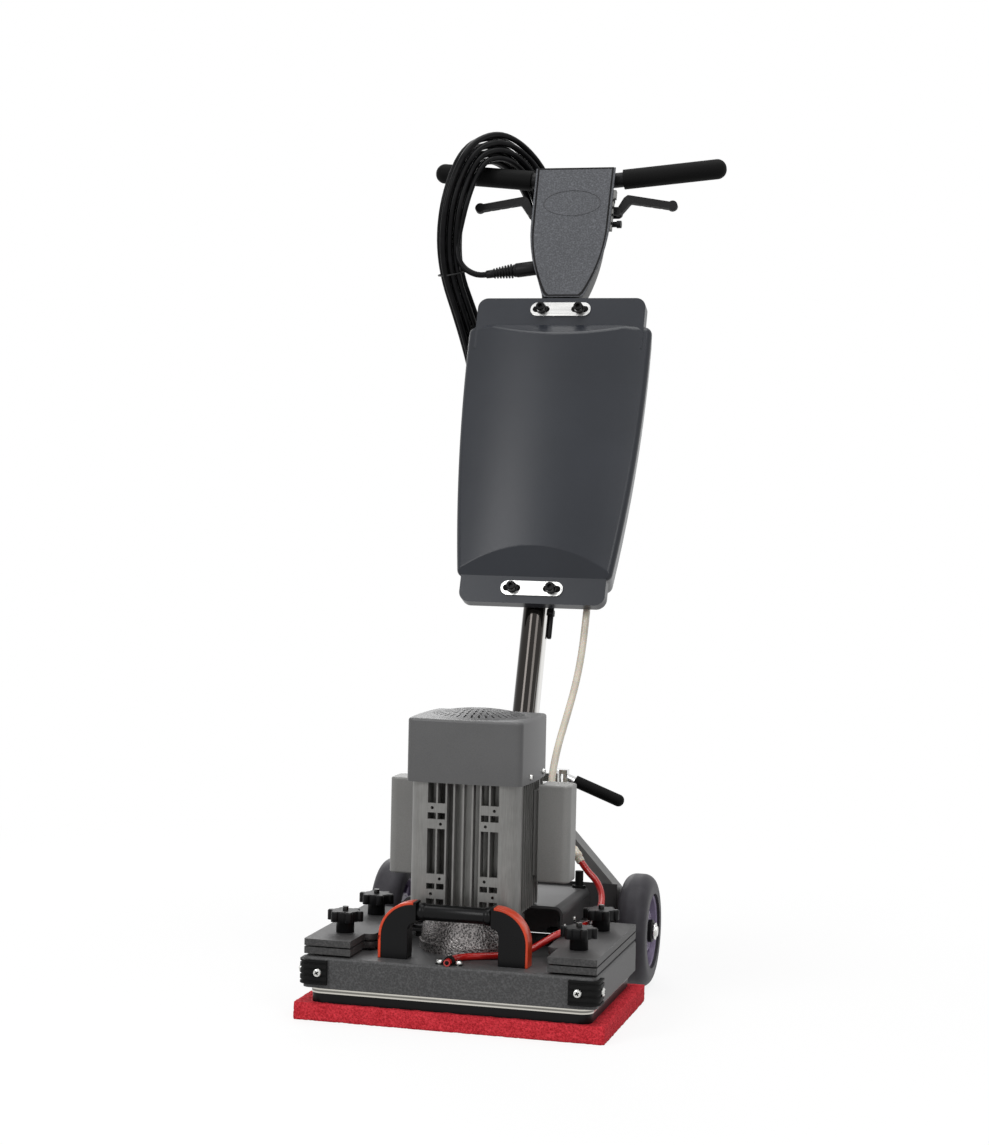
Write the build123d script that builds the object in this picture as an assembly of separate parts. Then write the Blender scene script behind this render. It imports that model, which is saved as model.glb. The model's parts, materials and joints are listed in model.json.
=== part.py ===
from build123d import *
import os
from math import asin, atan2, cos, degrees, pi, radians, sin, sqrt, tan

os.makedirs("parts", exist_ok=True)

# Walk-behind orbital floor machine with a rectangular pad. Millimetres.
# X runs to the right seen from the front, Y back to the operator, Z up.
# The origin is on the floor, straight below the motor axis.

# Clearances
running_gap = 0.05      # radial gap of a pin or shaft that turns in its bore
side_gap = 0.3          # end gap beside a turning piece
skin_gap = 0.3          # gap between curved skins that do not touch

# Pad and its driver
pad_length = 430
pad_width = 300
pad_thickness = 24
pad_edge = 2
orbit_radius = 3
driver_length = 388
driver_width = 284
driver_height = 20
driver_corner = 16
driver_rim = 10
driver_floor = 8
driver_rib = 5
driver_hub_radius = 32
driver_hub_height = 42
strip_thickness = 1.2
strip_height = 6.5
strip_lift = 13
journal_radius = 12.5
journal_length = 24

# Deck housing
deck_length = 406
deck_depth = 300
deck_corner = 12
deck_wall = 3
deck_bottom = 46
deck_height = 42
deck_edge = 4
motor_hole_radius = 50
bumper_thickness = 5
bumper_height = 33
bumper_lift = 5
bumper_front = 42
bumper_side = 36
bumper_groove = 3
bumper_groove_depth = 1.6
bumper_grooves = 4

# Weight plates and their knobs
plate_thickness = 9
plate_washer = 2
plate_foot = 3
plate_inner_front = 136
plate_inner_rear = 121
plate_step_y = -79
plate_inset = 5
plate_corner = 3
plate_step_radius = 10
stud_x = 164
stud_y = 77
stud_radius = 4
stud_foot_radius = 12
knob_radius = 25.5
knob_lobe_radius = 5.5
knob_lobes = 6
knob_disc = 14
knob_hub_radius = 12.5
knob_hub_height = 16
stud_tip = 6

# Front lift handle
lift_y = -108
lift_leg_outer = 104
lift_leg_width = 41
lift_leg_depth = 26
lift_bar_height = 64
lift_bar_radius = 12.5
lift_leg_inner_top = 52
lift_leg_arch = 10
lift_trim = 3.5

# Motor
base_flange_radius = 76
base_flange_height = 12
base_bottom_radius = 74
base_top_radius = 68
base_height = 60
shaft_radius = 12
frame_half = 77
frame_height = 177
frame_bore = 58
frame_ring = 65
frame_corner = 24
corner_wall = 6
fin_thickness = 2.4
fin_offsets = (0, 13, 24, 37, 51)
pad_height = 13
pad_levels = (24, 45, 120, 142)
pad_depth = 6
drill_radius = 2.2
shield_height = 12
cover_height = 87
cover_half = 84
cover_bow = 4
cover_corner = 11
cover_wall = 2
cover_top_edge = 4
dome_radius = 72
dome_height = 10
slot_rings = ((18, 14, 9), (31, 22, 10), (44, 30, 10), (58, 38, 12))
slot_width = 2.6
screw_radius = 4
screw_head = 2.5
rotor_radius = 38
rotor_length = 110
stator_length = 120
stator_gap = 0.6
fan_radius = 60
fan_height = 24
fan_blades = 8
eccentric_radius = 20
eccentric_height = 15
weight_radius = 56
weight_height = 11

# Capacitor boxes
box_depth = 53
box_width = 44.5
box_standoff = 8
box_pad_inset = 8
box_height = 135
box_front = 12
box_lift = 95
box_corner = 11
box_edge = 3

# Chassis bridge behind the motor
bridge_half = 116
bridge_top = 57
bridge_drop = 38
bridge_front = 45
bridge_sheet = 4
bridge_bend = 12
bridge_cutout = 80
rear_plate_half = 156
rear_plate_rise = 6
rear_plate_foot = 72
bracket_sheet = 4
bracket_width = 22
bracket_height = 34
bracket_foot = 34
isolator_height = 8
isolator_radius = 10
bracket_rows = (60, 128)
stop_radius = 6
stop_height = 24

# Wheels, axle and yoke
wheel_radius = 82.4
wheel_width = 44
wheel_outer = 207.5
tyre_depth = 28
tyre_round = 17
rim_wall = 5
hub_boss_radius = 16
spokes = 5
spoke_width = 13
axle_radius = 7.5
axle_y = 259
arm_width = 17
arm_depth = 36
arm_front = 241
arm_x = 149.5
arm_wall = 3
arm_bend_z = 148
arm_foot = 16
cheek_thickness = 8
cheek_width = 46
cheek_top = 24
pivot_y = 264
pivot_z = 300
pivot_radius = 7
knuckle_half = 25.7
knuckle_radius = 21
lean = 20.743

# Lock lever
lock_pin_x = 56
lock_pin_radius = 4
tongue_height = 12
prong_height = 6
prong_radius = 10
lock_neck_x = 74
lock_grip_radius = 9
lock_reach = 90
lock_droop = 21

# Handle tube, bar and grips, in the handle's own frame: x across, y back, z along the tube
tube_radius = 20
tube_wall = 2.5
tube_top = 965
bar_forward = 15
bar_centre = 976.5
bar_rise = 6.1
bar_radius = 12
bar_half = 232
grip_inner = 75
grip_radius = 16

# Water tank
tank_front = 62
tank_back = 20
tank_bottom = 296
tank_shoulder = 716
tank_top = 762
tank_half_bottom = 123
tank_half_middle = 145
tank_half_top = 151
tank_round = 12
flange_half_top = 134
flange_half_bottom = 112.5
flange_front = 44
flange_corner = 16
flange_foot = 255.5
channel_half = 34
channel_front = 24
tank_bow = 16
tank_draft = 14
shoulder_level = 694
shoulder_rise = 24
tank_edge = 10
shoulder_edge = 8
arch_edge = 4
arch_level = 343
arch_drop = 45
tank_wall = 5
cap_x = 88
cap_forward = 2
cap_radius = 18
cap_height = 13
outlet_x = 80
outlet_forward = 10
outlet_radius = 7
outlet_length = 27
strap_half = 48
strap_width = 23
strap_thickness = 2.5
strap_hole_x = 30
strap_level_top = 742
strap_level_bottom = 279
screw_head_radius = 7
screw_head_height = 14
clamp_thickness = 4

# Control box
box_top = 994
box_bottom = 766.5
plate_front = 40
plate_sheet = 2.5
plate_half_top = 64
plate_half_middle = 62.8
plate_half_low = 54
plate_half_bottom = 34
plate_knee = 885
plate_low = 826
plate_chamfer = 5
housing_back = 28
housing_inset = 2
housing_taper = 18
housing_rise = 16
housing_wall = 3
groove_half_width = 40
groove_half_height = 18
groove_level = 922
lever_pivot_x = 70
lever_pivot_level = 925
lever_forward = 15
lever_thickness = 8
lever_pin_radius = 2.5
lever_boss = 6
lever_ball = 8
ear_thickness = 3
button_radius = 6
button_level = 901
button_reach = 26
button_cap = 7
button_neck = 4.5
button_forward = 22

# Mains cord
cord_radius = 5
gland_level = 827.8
gland_forward = 20
gland_droop = 8
gland_x = 43.1
nut_radius = 12
nut_length = 46
relief_length = 32
relief_rings = 5
sleeve_length = 13
sleeve_radius = 7
coil_radius = 28
hose_radius = 5.5
feed_radius = 4.8

deck_top = deck_bottom + deck_height
lean_angle = radians(lean)
handle_plane = Plane(origin=(0, pivot_y, pivot_z), x_dir=(1, 0, 0), z_dir=(0, sin(lean_angle), cos(lean_angle)))


def save(shape, name):
    export_step(shape, f"parts/{name}.step")


def group(shapes):
    return Compound(children=[solid for shape in shapes for solid in shape.solids()])


def upright(radius, bottom, height, x=0, y=0):
    return Pos(x, y, bottom + height / 2) * Cylinder(radius, height)


def block(x0, x1, y0, y1, z0, z1):
    return Pos((x0 + x1) / 2, (y0 + y1) / 2, (z0 + z1) / 2) * Box(abs(x1 - x0), abs(y1 - y0), abs(z1 - z0))


def crosswise(radius, x0, x1, y, z):
    return Pos((x0 + x1) / 2, y, z) * Rot(0, 90, 0) * Cylinder(radius, abs(x1 - x0))


def lengthwise(radius, y0, y1, x, z):
    return Pos(x, (y0 + y1) / 2, z) * Rot(90, 0, 0) * Cylinder(radius, abs(y1 - y0))


def mirrored(shape):
    return mirror(shape, about=Plane.YZ)


def in_handle(shape):
    return handle_plane.location * shape


def handle_point(x, y, z):
    return handle_plane.from_local_coords((x, y, z))


def upright_edges(shape):
    return shape.edges().filter_by(Axis.Z)


def front_outline(points):
    return make_face(Polyline(*points, close=True))


def soft_tube(points, radius, name, shortest_turn=0.5):
    """A cord or hose: straight runs joined by arcs as large as the runs allow."""
    corners = [Vector(*point) for point in points]
    radii = []
    for before, here, after in zip(corners, corners[1:], corners[2:]):
        turn = (here - before).get_angle(after - here)
        run = min((here - before).length, (after - here).length)
        radii.append(0.45 * run / tan(radians(max(turn, shortest_turn)) / 2))
    path = FilletPolyline(*points, radius=radii)
    start = Plane(origin=path @ 0, z_dir=path % 0)
    tube = sweep(start * Circle(radius), path=path)
    print(name, "radii", [round(value) for value in radii], "length", round(path.length),
          "volume ratio", round(tube.volume / (pi * radius ** 2 * path.length), 3))
    return tube


# ---------------------------------------------------------------- pad and driver
def make_pad_and_driver():
    centre = Pos(0, orbit_radius, 0)
    pad = centre * block(-pad_length / 2, pad_length / 2, -pad_width / 2, pad_width / 2, 0, pad_thickness)
    save(chamfer(pad.edges(), pad_edge), "scrub_pad")

    outline = RectangleRounded(driver_length, driver_width, driver_corner)
    inner = RectangleRounded(driver_length - 2 * driver_rim, driver_width - 2 * driver_rim, driver_corner / 2)
    plate = extrude(outline, driver_height) - Pos(0, 0, driver_floor) * extrude(inner, driver_height)
    rib_height = driver_height - driver_floor - 2
    for row in (-1, 0, 1):
        across = Pos(0, row * driver_width / 4, driver_floor + rib_height / 2)
        along = Pos(row * driver_length / 4, 0, driver_floor + rib_height / 2)
        plate += across * Box(driver_length - 2 * driver_rim, driver_rib, rib_height)
        plate += along * Box(driver_rib, driver_width - 2 * driver_rim, rib_height)
    plate += upright(driver_hub_radius, 0, driver_hub_height)
    plate -= upright(journal_radius + running_gap, driver_hub_height - journal_length - 2, journal_length + 2)
    save(centre * Pos(0, 0, pad_thickness) * plate, "driver_plate")

    band = RectangleRounded(driver_length + 2 * strip_thickness, driver_width + 2 * strip_thickness,
                            driver_corner + strip_thickness) - outline
    save(centre * Pos(0, 0, pad_thickness + strip_lift) * extrude(band, strip_height), "driver_edge_strip")


# ---------------------------------------------------------------- deck housing and bumpers
def bumper():
    outer = RectangleRounded(deck_length + 2 * bumper_thickness, deck_depth + 2 * bumper_thickness,
                             deck_corner + bumper_thickness)
    shallow = RectangleRounded(deck_length + 2 * (bumper_thickness - bumper_groove_depth),
                               deck_depth + 2 * (bumper_thickness - bumper_groove_depth),
                               deck_corner + bumper_thickness - bumper_groove_depth)
    skin = RectangleRounded(deck_length, deck_depth, deck_corner)
    pitch = bumper_height / bumper_grooves
    wrap = extrude(outer - skin, bumper_height)
    for groove in range(bumper_grooves):
        wrap -= Pos(0, 0, pitch * (groove + 0.5) - bumper_groove / 2) * extrude(outer - shallow, bumper_groove)
    corner_x = deck_length / 2 + bumper_thickness
    corner_y = deck_depth / 2 + bumper_thickness
    keep = block(corner_x - bumper_front, corner_x + 1, -corner_y - 1, -corner_y + bumper_side, -1, bumper_height + 1)
    return Pos(0, 0, deck_bottom + bumper_lift) * (wrap & keep)


def make_deck():
    shell = Pos(0, 0, deck_bottom) * extrude(RectangleRounded(deck_length, deck_depth, deck_corner), deck_height)
    shell = fillet(shell.faces().sort_by(Axis.Z)[-1].edges(), deck_edge)
    hollow = RectangleRounded(deck_length - 2 * deck_wall, deck_depth - 2 * deck_wall, deck_corner - deck_wall)
    shell -= Pos(0, 0, deck_bottom) * extrude(hollow, deck_height - deck_wall)
    shell -= upright(motor_hole_radius, deck_bottom, deck_height + 1)
    save(shell, "deck_housing")
    right = bumper()
    save(right, "corner_bumper_right")
    save(mirrored(right), "corner_bumper_left")


# ---------------------------------------------------------------- weight plates, studs and knobs
plate_bottom = deck_top + plate_foot
stack_top = plate_bottom + 2 * plate_thickness + plate_washer


def make_weights():
    outer = deck_length / 2 - 1
    rear = deck_depth / 2 - plate_inset
    outline = front_outline([(plate_inner_front, -rear), (outer, -rear), (outer, rear), (plate_inner_rear, rear),
                             (plate_inner_rear, plate_step_y), (plate_inner_front, plate_step_y)])
    outline = fillet(outline.vertices().filter_by_position(Axis.Y, plate_step_y - 1, plate_step_y + 1)
                     .sort_by(Axis.X)[0], plate_step_radius)
    hole = stud_radius + running_gap
    plate = extrude(outline, plate_thickness)
    plate = fillet(upright_edges(plate).filter_by(lambda edge: edge.center().X > outer - 1), plate_corner)
    for y in (-stud_y, stud_y):
        plate -= upright(hole, -1, plate_thickness + 2, stud_x, y)
    lower = Pos(0, 0, plate_bottom) * plate
    upper = Pos(0, 0, plate_bottom + plate_thickness + plate_washer) * plate
    save(group([lower, upper]), "weight_plates_right")
    save(group([mirrored(lower), mirrored(upper)]), "weight_plates_left")

    studs = []
    top = stack_top + knob_hub_height + knob_disc + stud_tip
    for x in (-stud_x, stud_x):
        for y in (-stud_y, stud_y):
            stud = upright(stud_radius, deck_top, top - deck_top, x, y)
            studs.append(stud + upright(stud_foot_radius, deck_top, plate_foot, x, y))
            washer = upright(stud_foot_radius, plate_bottom + plate_thickness, plate_washer, x, y)
            studs.append(washer - upright(hole, deck_top, top, x, y))
    save(group(studs), "weight_studs")

    star = Circle(knob_radius - knob_lobe_radius)
    for lobe in range(knob_lobes):
        star += Rot(0, 0, 360 / knob_lobes * lobe) * Pos(knob_radius - knob_lobe_radius, 0) * Circle(knob_lobe_radius)
        notch = Rot(0, 0, 360 / knob_lobes * (lobe + 0.5)) * Pos(knob_radius, 0)
        star -= notch * Circle(knob_lobe_radius)
    knob = Pos(0, 0, knob_hub_height) * extrude(star, knob_disc) + upright(knob_hub_radius, 0, knob_hub_height + 1)
    knob = chamfer(knob.faces().sort_by(Axis.Z)[-1].edges(), 1.5)
    knob -= upright(hole, -1, knob_hub_height + knob_disc + 2)
    for x, side in ((-stud_x, "left"), (stud_x, "right")):
        for y, end in ((-stud_y, "front"), (stud_y, "rear")):
            save(Pos(x, y, stack_top + side_gap) * knob, f"knob_{end}_{side}")


# ---------------------------------------------------------------- front lift handle
def make_lift_handle():
    bar_z = deck_top + lift_bar_height
    crown = bar_z + lift_bar_radius + 1.5
    inner_foot = lift_leg_outer - lift_leg_width
    sweep_radius = lift_leg_outer - lift_leg_inner_top - 4
    underside = crown - 2 * lift_bar_radius - 3
    outline = make_face([
        Line((inner_foot, deck_top), (lift_leg_outer, deck_top)),
        Line((lift_leg_outer, deck_top), (lift_leg_outer, crown - sweep_radius)),
        JernArc((lift_leg_outer, crown - sweep_radius), (0, 1), sweep_radius, 90),
        Line((lift_leg_outer - sweep_radius, crown), (lift_leg_inner_top, crown)),
        Line((lift_leg_inner_top, crown), (lift_leg_inner_top, underside)),
        Line((lift_leg_inner_top, underside), (inner_foot, underside)),
        Line((inner_foot, underside), (inner_foot, deck_top)),
    ])
    outline = fillet(outline.vertices().filter_by_position(Axis.Y, underside - 1, underside + 1)
                     .sort_by(Axis.X)[-1], lift_leg_arch)
    inner = offset(outline, -lift_trim)
    front = lift_y - lift_leg_depth / 2
    turned = Plane(origin=(0, front + lift_leg_depth, 0), x_dir=(1, 0, 0), z_dir=(0, -1, 0))
    leg = extrude(turned * outline, lift_leg_depth)
    trim_zone = make_face([
        Line((lift_leg_outer + 1, deck_top), (lift_leg_outer + 1, crown + 1)),
        Line((lift_leg_outer + 1, crown + 1), (lift_leg_outer - sweep_radius, crown + 1)),
        Line((lift_leg_outer - sweep_radius, crown + 1), (lift_leg_outer - sweep_radius, crown - 6)),
        Line((lift_leg_outer - sweep_radius, crown - 6), (lift_leg_outer - lift_trim - 6, deck_top)),
        Line((lift_leg_outer - lift_trim - 6, deck_top), (lift_leg_outer + 1, deck_top)),
    ])
    trim_outline = (outline - inner) & trim_zone
    trim_outline -= front_outline([(0, deck_top - 1), (lift_leg_outer - lift_trim, deck_top - 1),
                                   (lift_leg_outer - lift_trim, deck_top + 6), (0, deck_top + 6)])
    trim = extrude(turned * trim_outline, lift_leg_depth)
    trim = trim.solids().sort_by(SortBy.VOLUME)[-1]
    leg -= trim
    leg = leg.solids().sort_by(SortBy.VOLUME)[-1]
    save(leg, "lift_handle_leg_right")
    save(mirrored(leg), "lift_handle_leg_left")
    save(group([trim, mirrored(trim)]), "lift_handle_trims")
    save(crosswise(lift_bar_radius, -lift_leg_inner_top, lift_leg_inner_top, lift_y, bar_z), "lift_handle_bar")


# ---------------------------------------------------------------- motor
base_top = deck_top + base_height
frame_top = base_top + frame_height
cover_top = frame_top + cover_height


def bowed_square(half, bow, corner):
    """A square outline whose four sides bulge outwards by bow, with rounded corners."""
    sides = []
    for turn in range(4):
        side = ThreePointArc((-half, -half), (0, -half - bow), (half, -half))
        sides.append(Rot(0, 0, 90 * turn) * side)
    return fillet(make_face(sides).vertices(), corner)


def make_motor_base():
    lip = base_flange_height
    bearing = 30
    profile = make_face(Polyline(
        (shaft_radius + running_gap, deck_top + base_height - bearing), (shaft_radius + running_gap, base_top),
        (base_top_radius, base_top), (base_bottom_radius, deck_top + lip), (base_flange_radius, deck_top + lip),
        (base_flange_radius, deck_top), (motor_hole_radius, deck_top), (shaft_radius * 2, base_top - bearing),
        close=True))
    save(revolve(Plane.XZ * profile, Axis.Z), "motor_base")


def make_motor_frame():
    ring = Circle(frame_ring)
    section = ring
    square = RectangleRounded(2 * frame_half, 2 * frame_half, frame_corner)
    hollow = RectangleRounded(2 * (frame_half - corner_wall), 2 * (frame_half - corner_wall),
                              frame_corner - corner_wall)
    shell = square - hollow
    corner_panel = frame_half - fin_offsets[-1] + fin_thickness / 2
    for turn in range(4):
        corner = Pos(frame_half - corner_panel / 2, frame_half - corner_panel / 2) * Rectangle(corner_panel,
                                                                                               corner_panel)
        section += Rot(0, 0, 90 * turn) * (shell & corner)
        section += Rot(0, 0, 45 + 90 * turn) * Pos(frame_half, 0) * Rectangle(34, corner_wall)
        for offset_x in fin_offsets:
            for side in (-1, 1) if offset_x else (1,):
                start = sqrt(frame_bore ** 2 - offset_x ** 2) + 2
                fin = Pos(side * offset_x, (frame_half + start) / 2) * Rectangle(fin_thickness, frame_half - start)
                section += Rot(0, 0, 90 * turn) * fin
    section -= Circle(frame_bore)
    frame = Pos(0, 0, base_top) * extrude(section, frame_height)
    bay_inner, bay_outer = fin_offsets[2], fin_offsets[4]
    for face_turn in (0, 180):
        for side in (-1, 1):
            for number, level in enumerate(pad_levels):
                z = base_top + level
                x0, x1 = side * bay_inner, side * bay_outer
                foot = block(x0, x1, -frame_half, -frame_half + pad_depth, z - pad_height / 2, z + pad_height / 2)
                swing = 1 if number in (0, 3) else -1
                hole_x = side * (bay_inner + bay_outer) / 2 + side * swing * 6
                foot -= lengthwise(drill_radius, -frame_half - 1, -frame_half + pad_depth + 1, hole_x, z)
                frame += Rot(0, 0, face_turn) * foot
    inside = bowed_square(cover_half - cover_bow - cover_wall - running_gap, cover_bow, cover_corner - cover_wall)
    shield = extrude(inside, shield_height) - upright(shaft_radius + running_gap, -1, shield_height + 2)
    shield -= upright(frame_bore - 8, shield_height / 2, shield_height) - upright(26, 0, shield_height)
    save(group([frame, Pos(0, 0, frame_top) * shield]), "motor_frame")


def make_motor_inside():
    rotor_z = base_top + frame_height / 2
    shaft = upright(shaft_radius, deck_top - 20, cover_top - 25 - deck_top + 20)
    rotor = shaft + upright(rotor_radius, rotor_z - rotor_length / 2, rotor_length)
    save(rotor, "motor_rotor")
    stator = upright(frame_bore - running_gap, rotor_z - stator_length / 2, stator_length)
    stator -= upright(rotor_radius + stator_gap, base_top, frame_height)
    save(stator, "motor_stator")

    fan_z = frame_top + shield_height + 14
    fan = upright(fan_radius, fan_z, 3) + upright(20, fan_z, fan_height)
    for number in range(fan_blades):
        blade = Pos((fan_radius + 15) / 2, 0, fan_z + fan_height / 2) * Box(fan_radius - 15, 2.5, fan_height)
        fan += Rot(0, 0, 360 / fan_blades * number) * blade
    fan -= upright(shaft_radius + running_gap / 2, fan_z - 1, fan_height + 2)
    save(fan & upright(fan_radius, fan_z - 1, fan_height + 2), "cooling_fan")

    hub_top = pad_thickness + driver_hub_height + 2 + eccentric_height
    hub_bottom = hub_top - eccentric_height
    hub = upright(eccentric_radius, hub_bottom, eccentric_height)
    hub += upright(journal_radius, hub_bottom - journal_length, journal_length, 0, orbit_radius)
    sector = upright(weight_radius, hub_bottom + 2, weight_height) & block(-weight_radius, weight_radius,
                                                                      -weight_radius, -8, 0, deck_top)
    hub += sector
    hub -= upright(shaft_radius + running_gap / 2, deck_top - 20, 30)
    save(hub, "eccentric_hub")


def make_fan_cover():
    outline = bowed_square(cover_half - cover_bow, cover_bow, cover_corner)
    inside = bowed_square(cover_half - cover_bow - cover_wall, cover_bow, cover_corner - cover_wall)
    cover = extrude(outline, cover_height)
    cover = fillet(cover.faces().sort_by(Axis.Z)[-1].edges(), cover_top_edge)
    cover -= extrude(inside, cover_height - cover_wall)
    cover -= upright(dome_radius - 1, 0, cover_height + 1)
    curve = (dome_radius ** 2 + dome_height ** 2) / (2 * dome_height)
    centre_z = cover_height - cover_wall + dome_height - curve
    cap = Pos(0, 0, centre_z) * (Sphere(curve + cover_wall) - Sphere(curve))
    cap &= upright(dome_radius, cover_height - cover_wall, dome_height + 2 * cover_wall)
    cover += cap
    for radius, count, length in slot_rings:
        for number in range(count):
            slot = Pos(radius, 0, cover_height) * Box(length, slot_width, 4 * dome_height)
            cover -= Rot(0, 0, 360 / count * number) * slot
    save(Pos(0, 0, frame_top) * cover, "fan_cover")


def make_capacitor_boxes():
    inner = frame_half + box_standoff
    bottom = deck_top + box_lift
    box = block(inner, inner + box_width, box_front, box_front + box_depth, bottom, bottom + box_height)
    outer_edges = upright_edges(box).filter_by(lambda edge: edge.center().X > inner + 1)
    box = fillet(outer_edges, box_corner)
    box = fillet(box.faces().sort_by(Axis.Z)[-1].edges() + box.faces().sort_by(Axis.Z)[0].edges(), box_edge)
    box += block(frame_half, inner, box_front + box_pad_inset, box_front + box_depth - box_pad_inset,
                 bottom + box_pad_inset, bottom + box_height - box_pad_inset)
    save(box, "capacitor_box_right")
    save(mirrored(box), "capacitor_box_left")


# ---------------------------------------------------------------- chassis bridge, brackets and fasteners
bridge_z = deck_top + bridge_top
bridge_foot = bridge_z - bridge_drop
bracket_x = bridge_half - bridge_sheet
isolator_x = bracket_x - bracket_foot + isolator_radius + 2
foot_z = deck_top + isolator_height


def make_bridge():
    outer = front_outline([(-bridge_half, bridge_foot), (bridge_half, bridge_foot), (bridge_half, bridge_z),
                           (-bridge_half, bridge_z)])
    inner = front_outline([(-bracket_x, bridge_foot - 1), (bracket_x, bridge_foot - 1),
                           (bracket_x, bridge_z - bridge_sheet), (-bracket_x, bridge_z - bridge_sheet)])
    outer = fillet(outer.vertices().sort_by(Axis.Y)[-2:], bridge_bend)
    inner = fillet(inner.vertices().sort_by(Axis.Y)[-2:], bridge_bend - bridge_sheet)
    rear = arm_front - bridge_sheet
    turned = Plane(origin=(0, rear, 0), x_dir=(1, 0, 0), z_dir=(0, -1, 0))
    bridge = extrude(turned * (outer - inner), rear - bridge_front)
    bridge -= upright(bridge_cutout, bridge_foot - 1, bridge_drop + 2)
    bridge += block(-rear_plate_half, rear_plate_half, rear, arm_front, rear_plate_foot, bridge_z + rear_plate_rise)
    save(bridge, "chassis_bridge")

    brackets, isolators = [], []
    for y in bracket_rows:
        leg = block(bracket_x - bracket_sheet, bracket_x, y - bracket_width / 2, y + bracket_width / 2,
                    foot_z, foot_z + bracket_height)
        leg = chamfer(leg.faces().sort_by(Axis.Z)[-1].edges().filter_by(Axis.X), 6)
        foot = block(bracket_x - bracket_foot, bracket_x, y - bracket_width / 2, y + bracket_width / 2,
                     foot_z, foot_z + bracket_sheet)
        bracket = leg + foot
        isolator = upright(isolator_radius, deck_top, isolator_height / 3, isolator_x, y)
        isolator += upright(isolator_radius - 1.5, deck_top, isolator_height, isolator_x, y)
        isolator += upright(isolator_radius, foot_z - isolator_height / 3, isolator_height / 3, isolator_x, y)
        brackets += [bracket, mirrored(bracket)]
        isolators += [isolator, mirrored(isolator)]
    save(group(brackets), "bridge_brackets")
    stop = upright(stop_radius, bridge_z, stop_height, bridge_half - 14, arm_front - 16)
    stop += upright(stop_radius + 4, bridge_z, 3, bridge_half - 14, arm_front - 16)
    isolators += [stop, mirrored(stop)]
    save(group(isolators), "rubber_mounts")


def hexagon_head(radius, height):
    return extrude(RegularPolygon(radius, 6), height)


def make_screws():
    screws = []
    for y in bracket_rows:
        screws.append(Pos(isolator_x, y, foot_z + bracket_sheet) * hexagon_head(6.5, 5))
        screws.append(Pos(bridge_half, y, (bridge_foot + foot_z + bracket_height) / 2) * Rot(0, 90, 0)
                      * hexagon_head(7, 5))
    bumper_z = deck_bottom + bumper_lift + bumper_height / 2
    face_depth = bumper_thickness
    screws.append(lengthwise(5.5, -deck_depth / 2 - face_depth - 3, -deck_depth / 2 - face_depth,
                             deck_length / 2 - 24, bumper_z))
    screws.append(crosswise(5.5, deck_length / 2 + face_depth, deck_length / 2 + face_depth + 3,
                            -deck_depth / 2 + 18, bumper_z))
    screws += [mirrored(screw) for screw in screws]
    heads = []
    for turn in (0, 90, 180, 270):
        head = crosswise(screw_radius, cover_half, cover_half + screw_head, 0, frame_top + shield_height / 2)
        heads.append(Rot(0, 0, turn) * head)
    return screws + heads


# ---------------------------------------------------------------- wheels and yoke
wheel_inner = wheel_outer - wheel_width
wheel_bore = axle_radius + running_gap


def make_wheels():
    hub_radius = wheel_radius - tyre_depth
    middle = (wheel_inner + wheel_outer) / 2
    centre = Pos(middle, axle_y, wheel_radius) * Rot(0, 90, 0)
    tyre = Cylinder(wheel_radius, wheel_width) - Cylinder(hub_radius, wheel_width)
    rims = tyre.edges().filter_by(GeomType.CIRCLE).filter_by(lambda edge: edge.radius > wheel_radius - 1)
    tyre = fillet(rims, tyre_round)
    rim_width = wheel_width - 12
    hub = Cylinder(hub_radius, rim_width) - Cylinder(hub_radius - rim_wall, rim_width)
    hub += Cylinder(hub_boss_radius, wheel_width)
    spoke_length = hub_radius - rim_wall / 2
    for number in range(spokes):
        spoke = Pos(spoke_length / 2, 0, 0) * Box(spoke_length, spoke_width, rim_width / 2)
        hub += Rot(0, 0, 360 / spokes * number) * spoke
    hub -= Cylinder(wheel_bore, wheel_width + 2)
    save(centre * tyre, "wheel_tyre_right")
    save(centre * hub, "wheel_hub_right")
    save(mirrored(centre * tyre), "wheel_tyre_left")
    save(mirrored(centre * hub), "wheel_hub_left")

    arm_outer = arm_x + arm_width / 2
    axle = crosswise(axle_radius, -wheel_outer - 6, wheel_outer + 6, axle_y, wheel_radius)
    for side in (-1, 1):
        axle += crosswise(axle_radius + 4, side * arm_outer, side * (wheel_inner - side_gap), axle_y, wheel_radius)
        axle += crosswise(axle_radius + 5, side * (wheel_outer + side_gap), side * (wheel_outer + 3.5),
                          axle_y, wheel_radius)
    save(axle, "wheel_axle")


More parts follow.
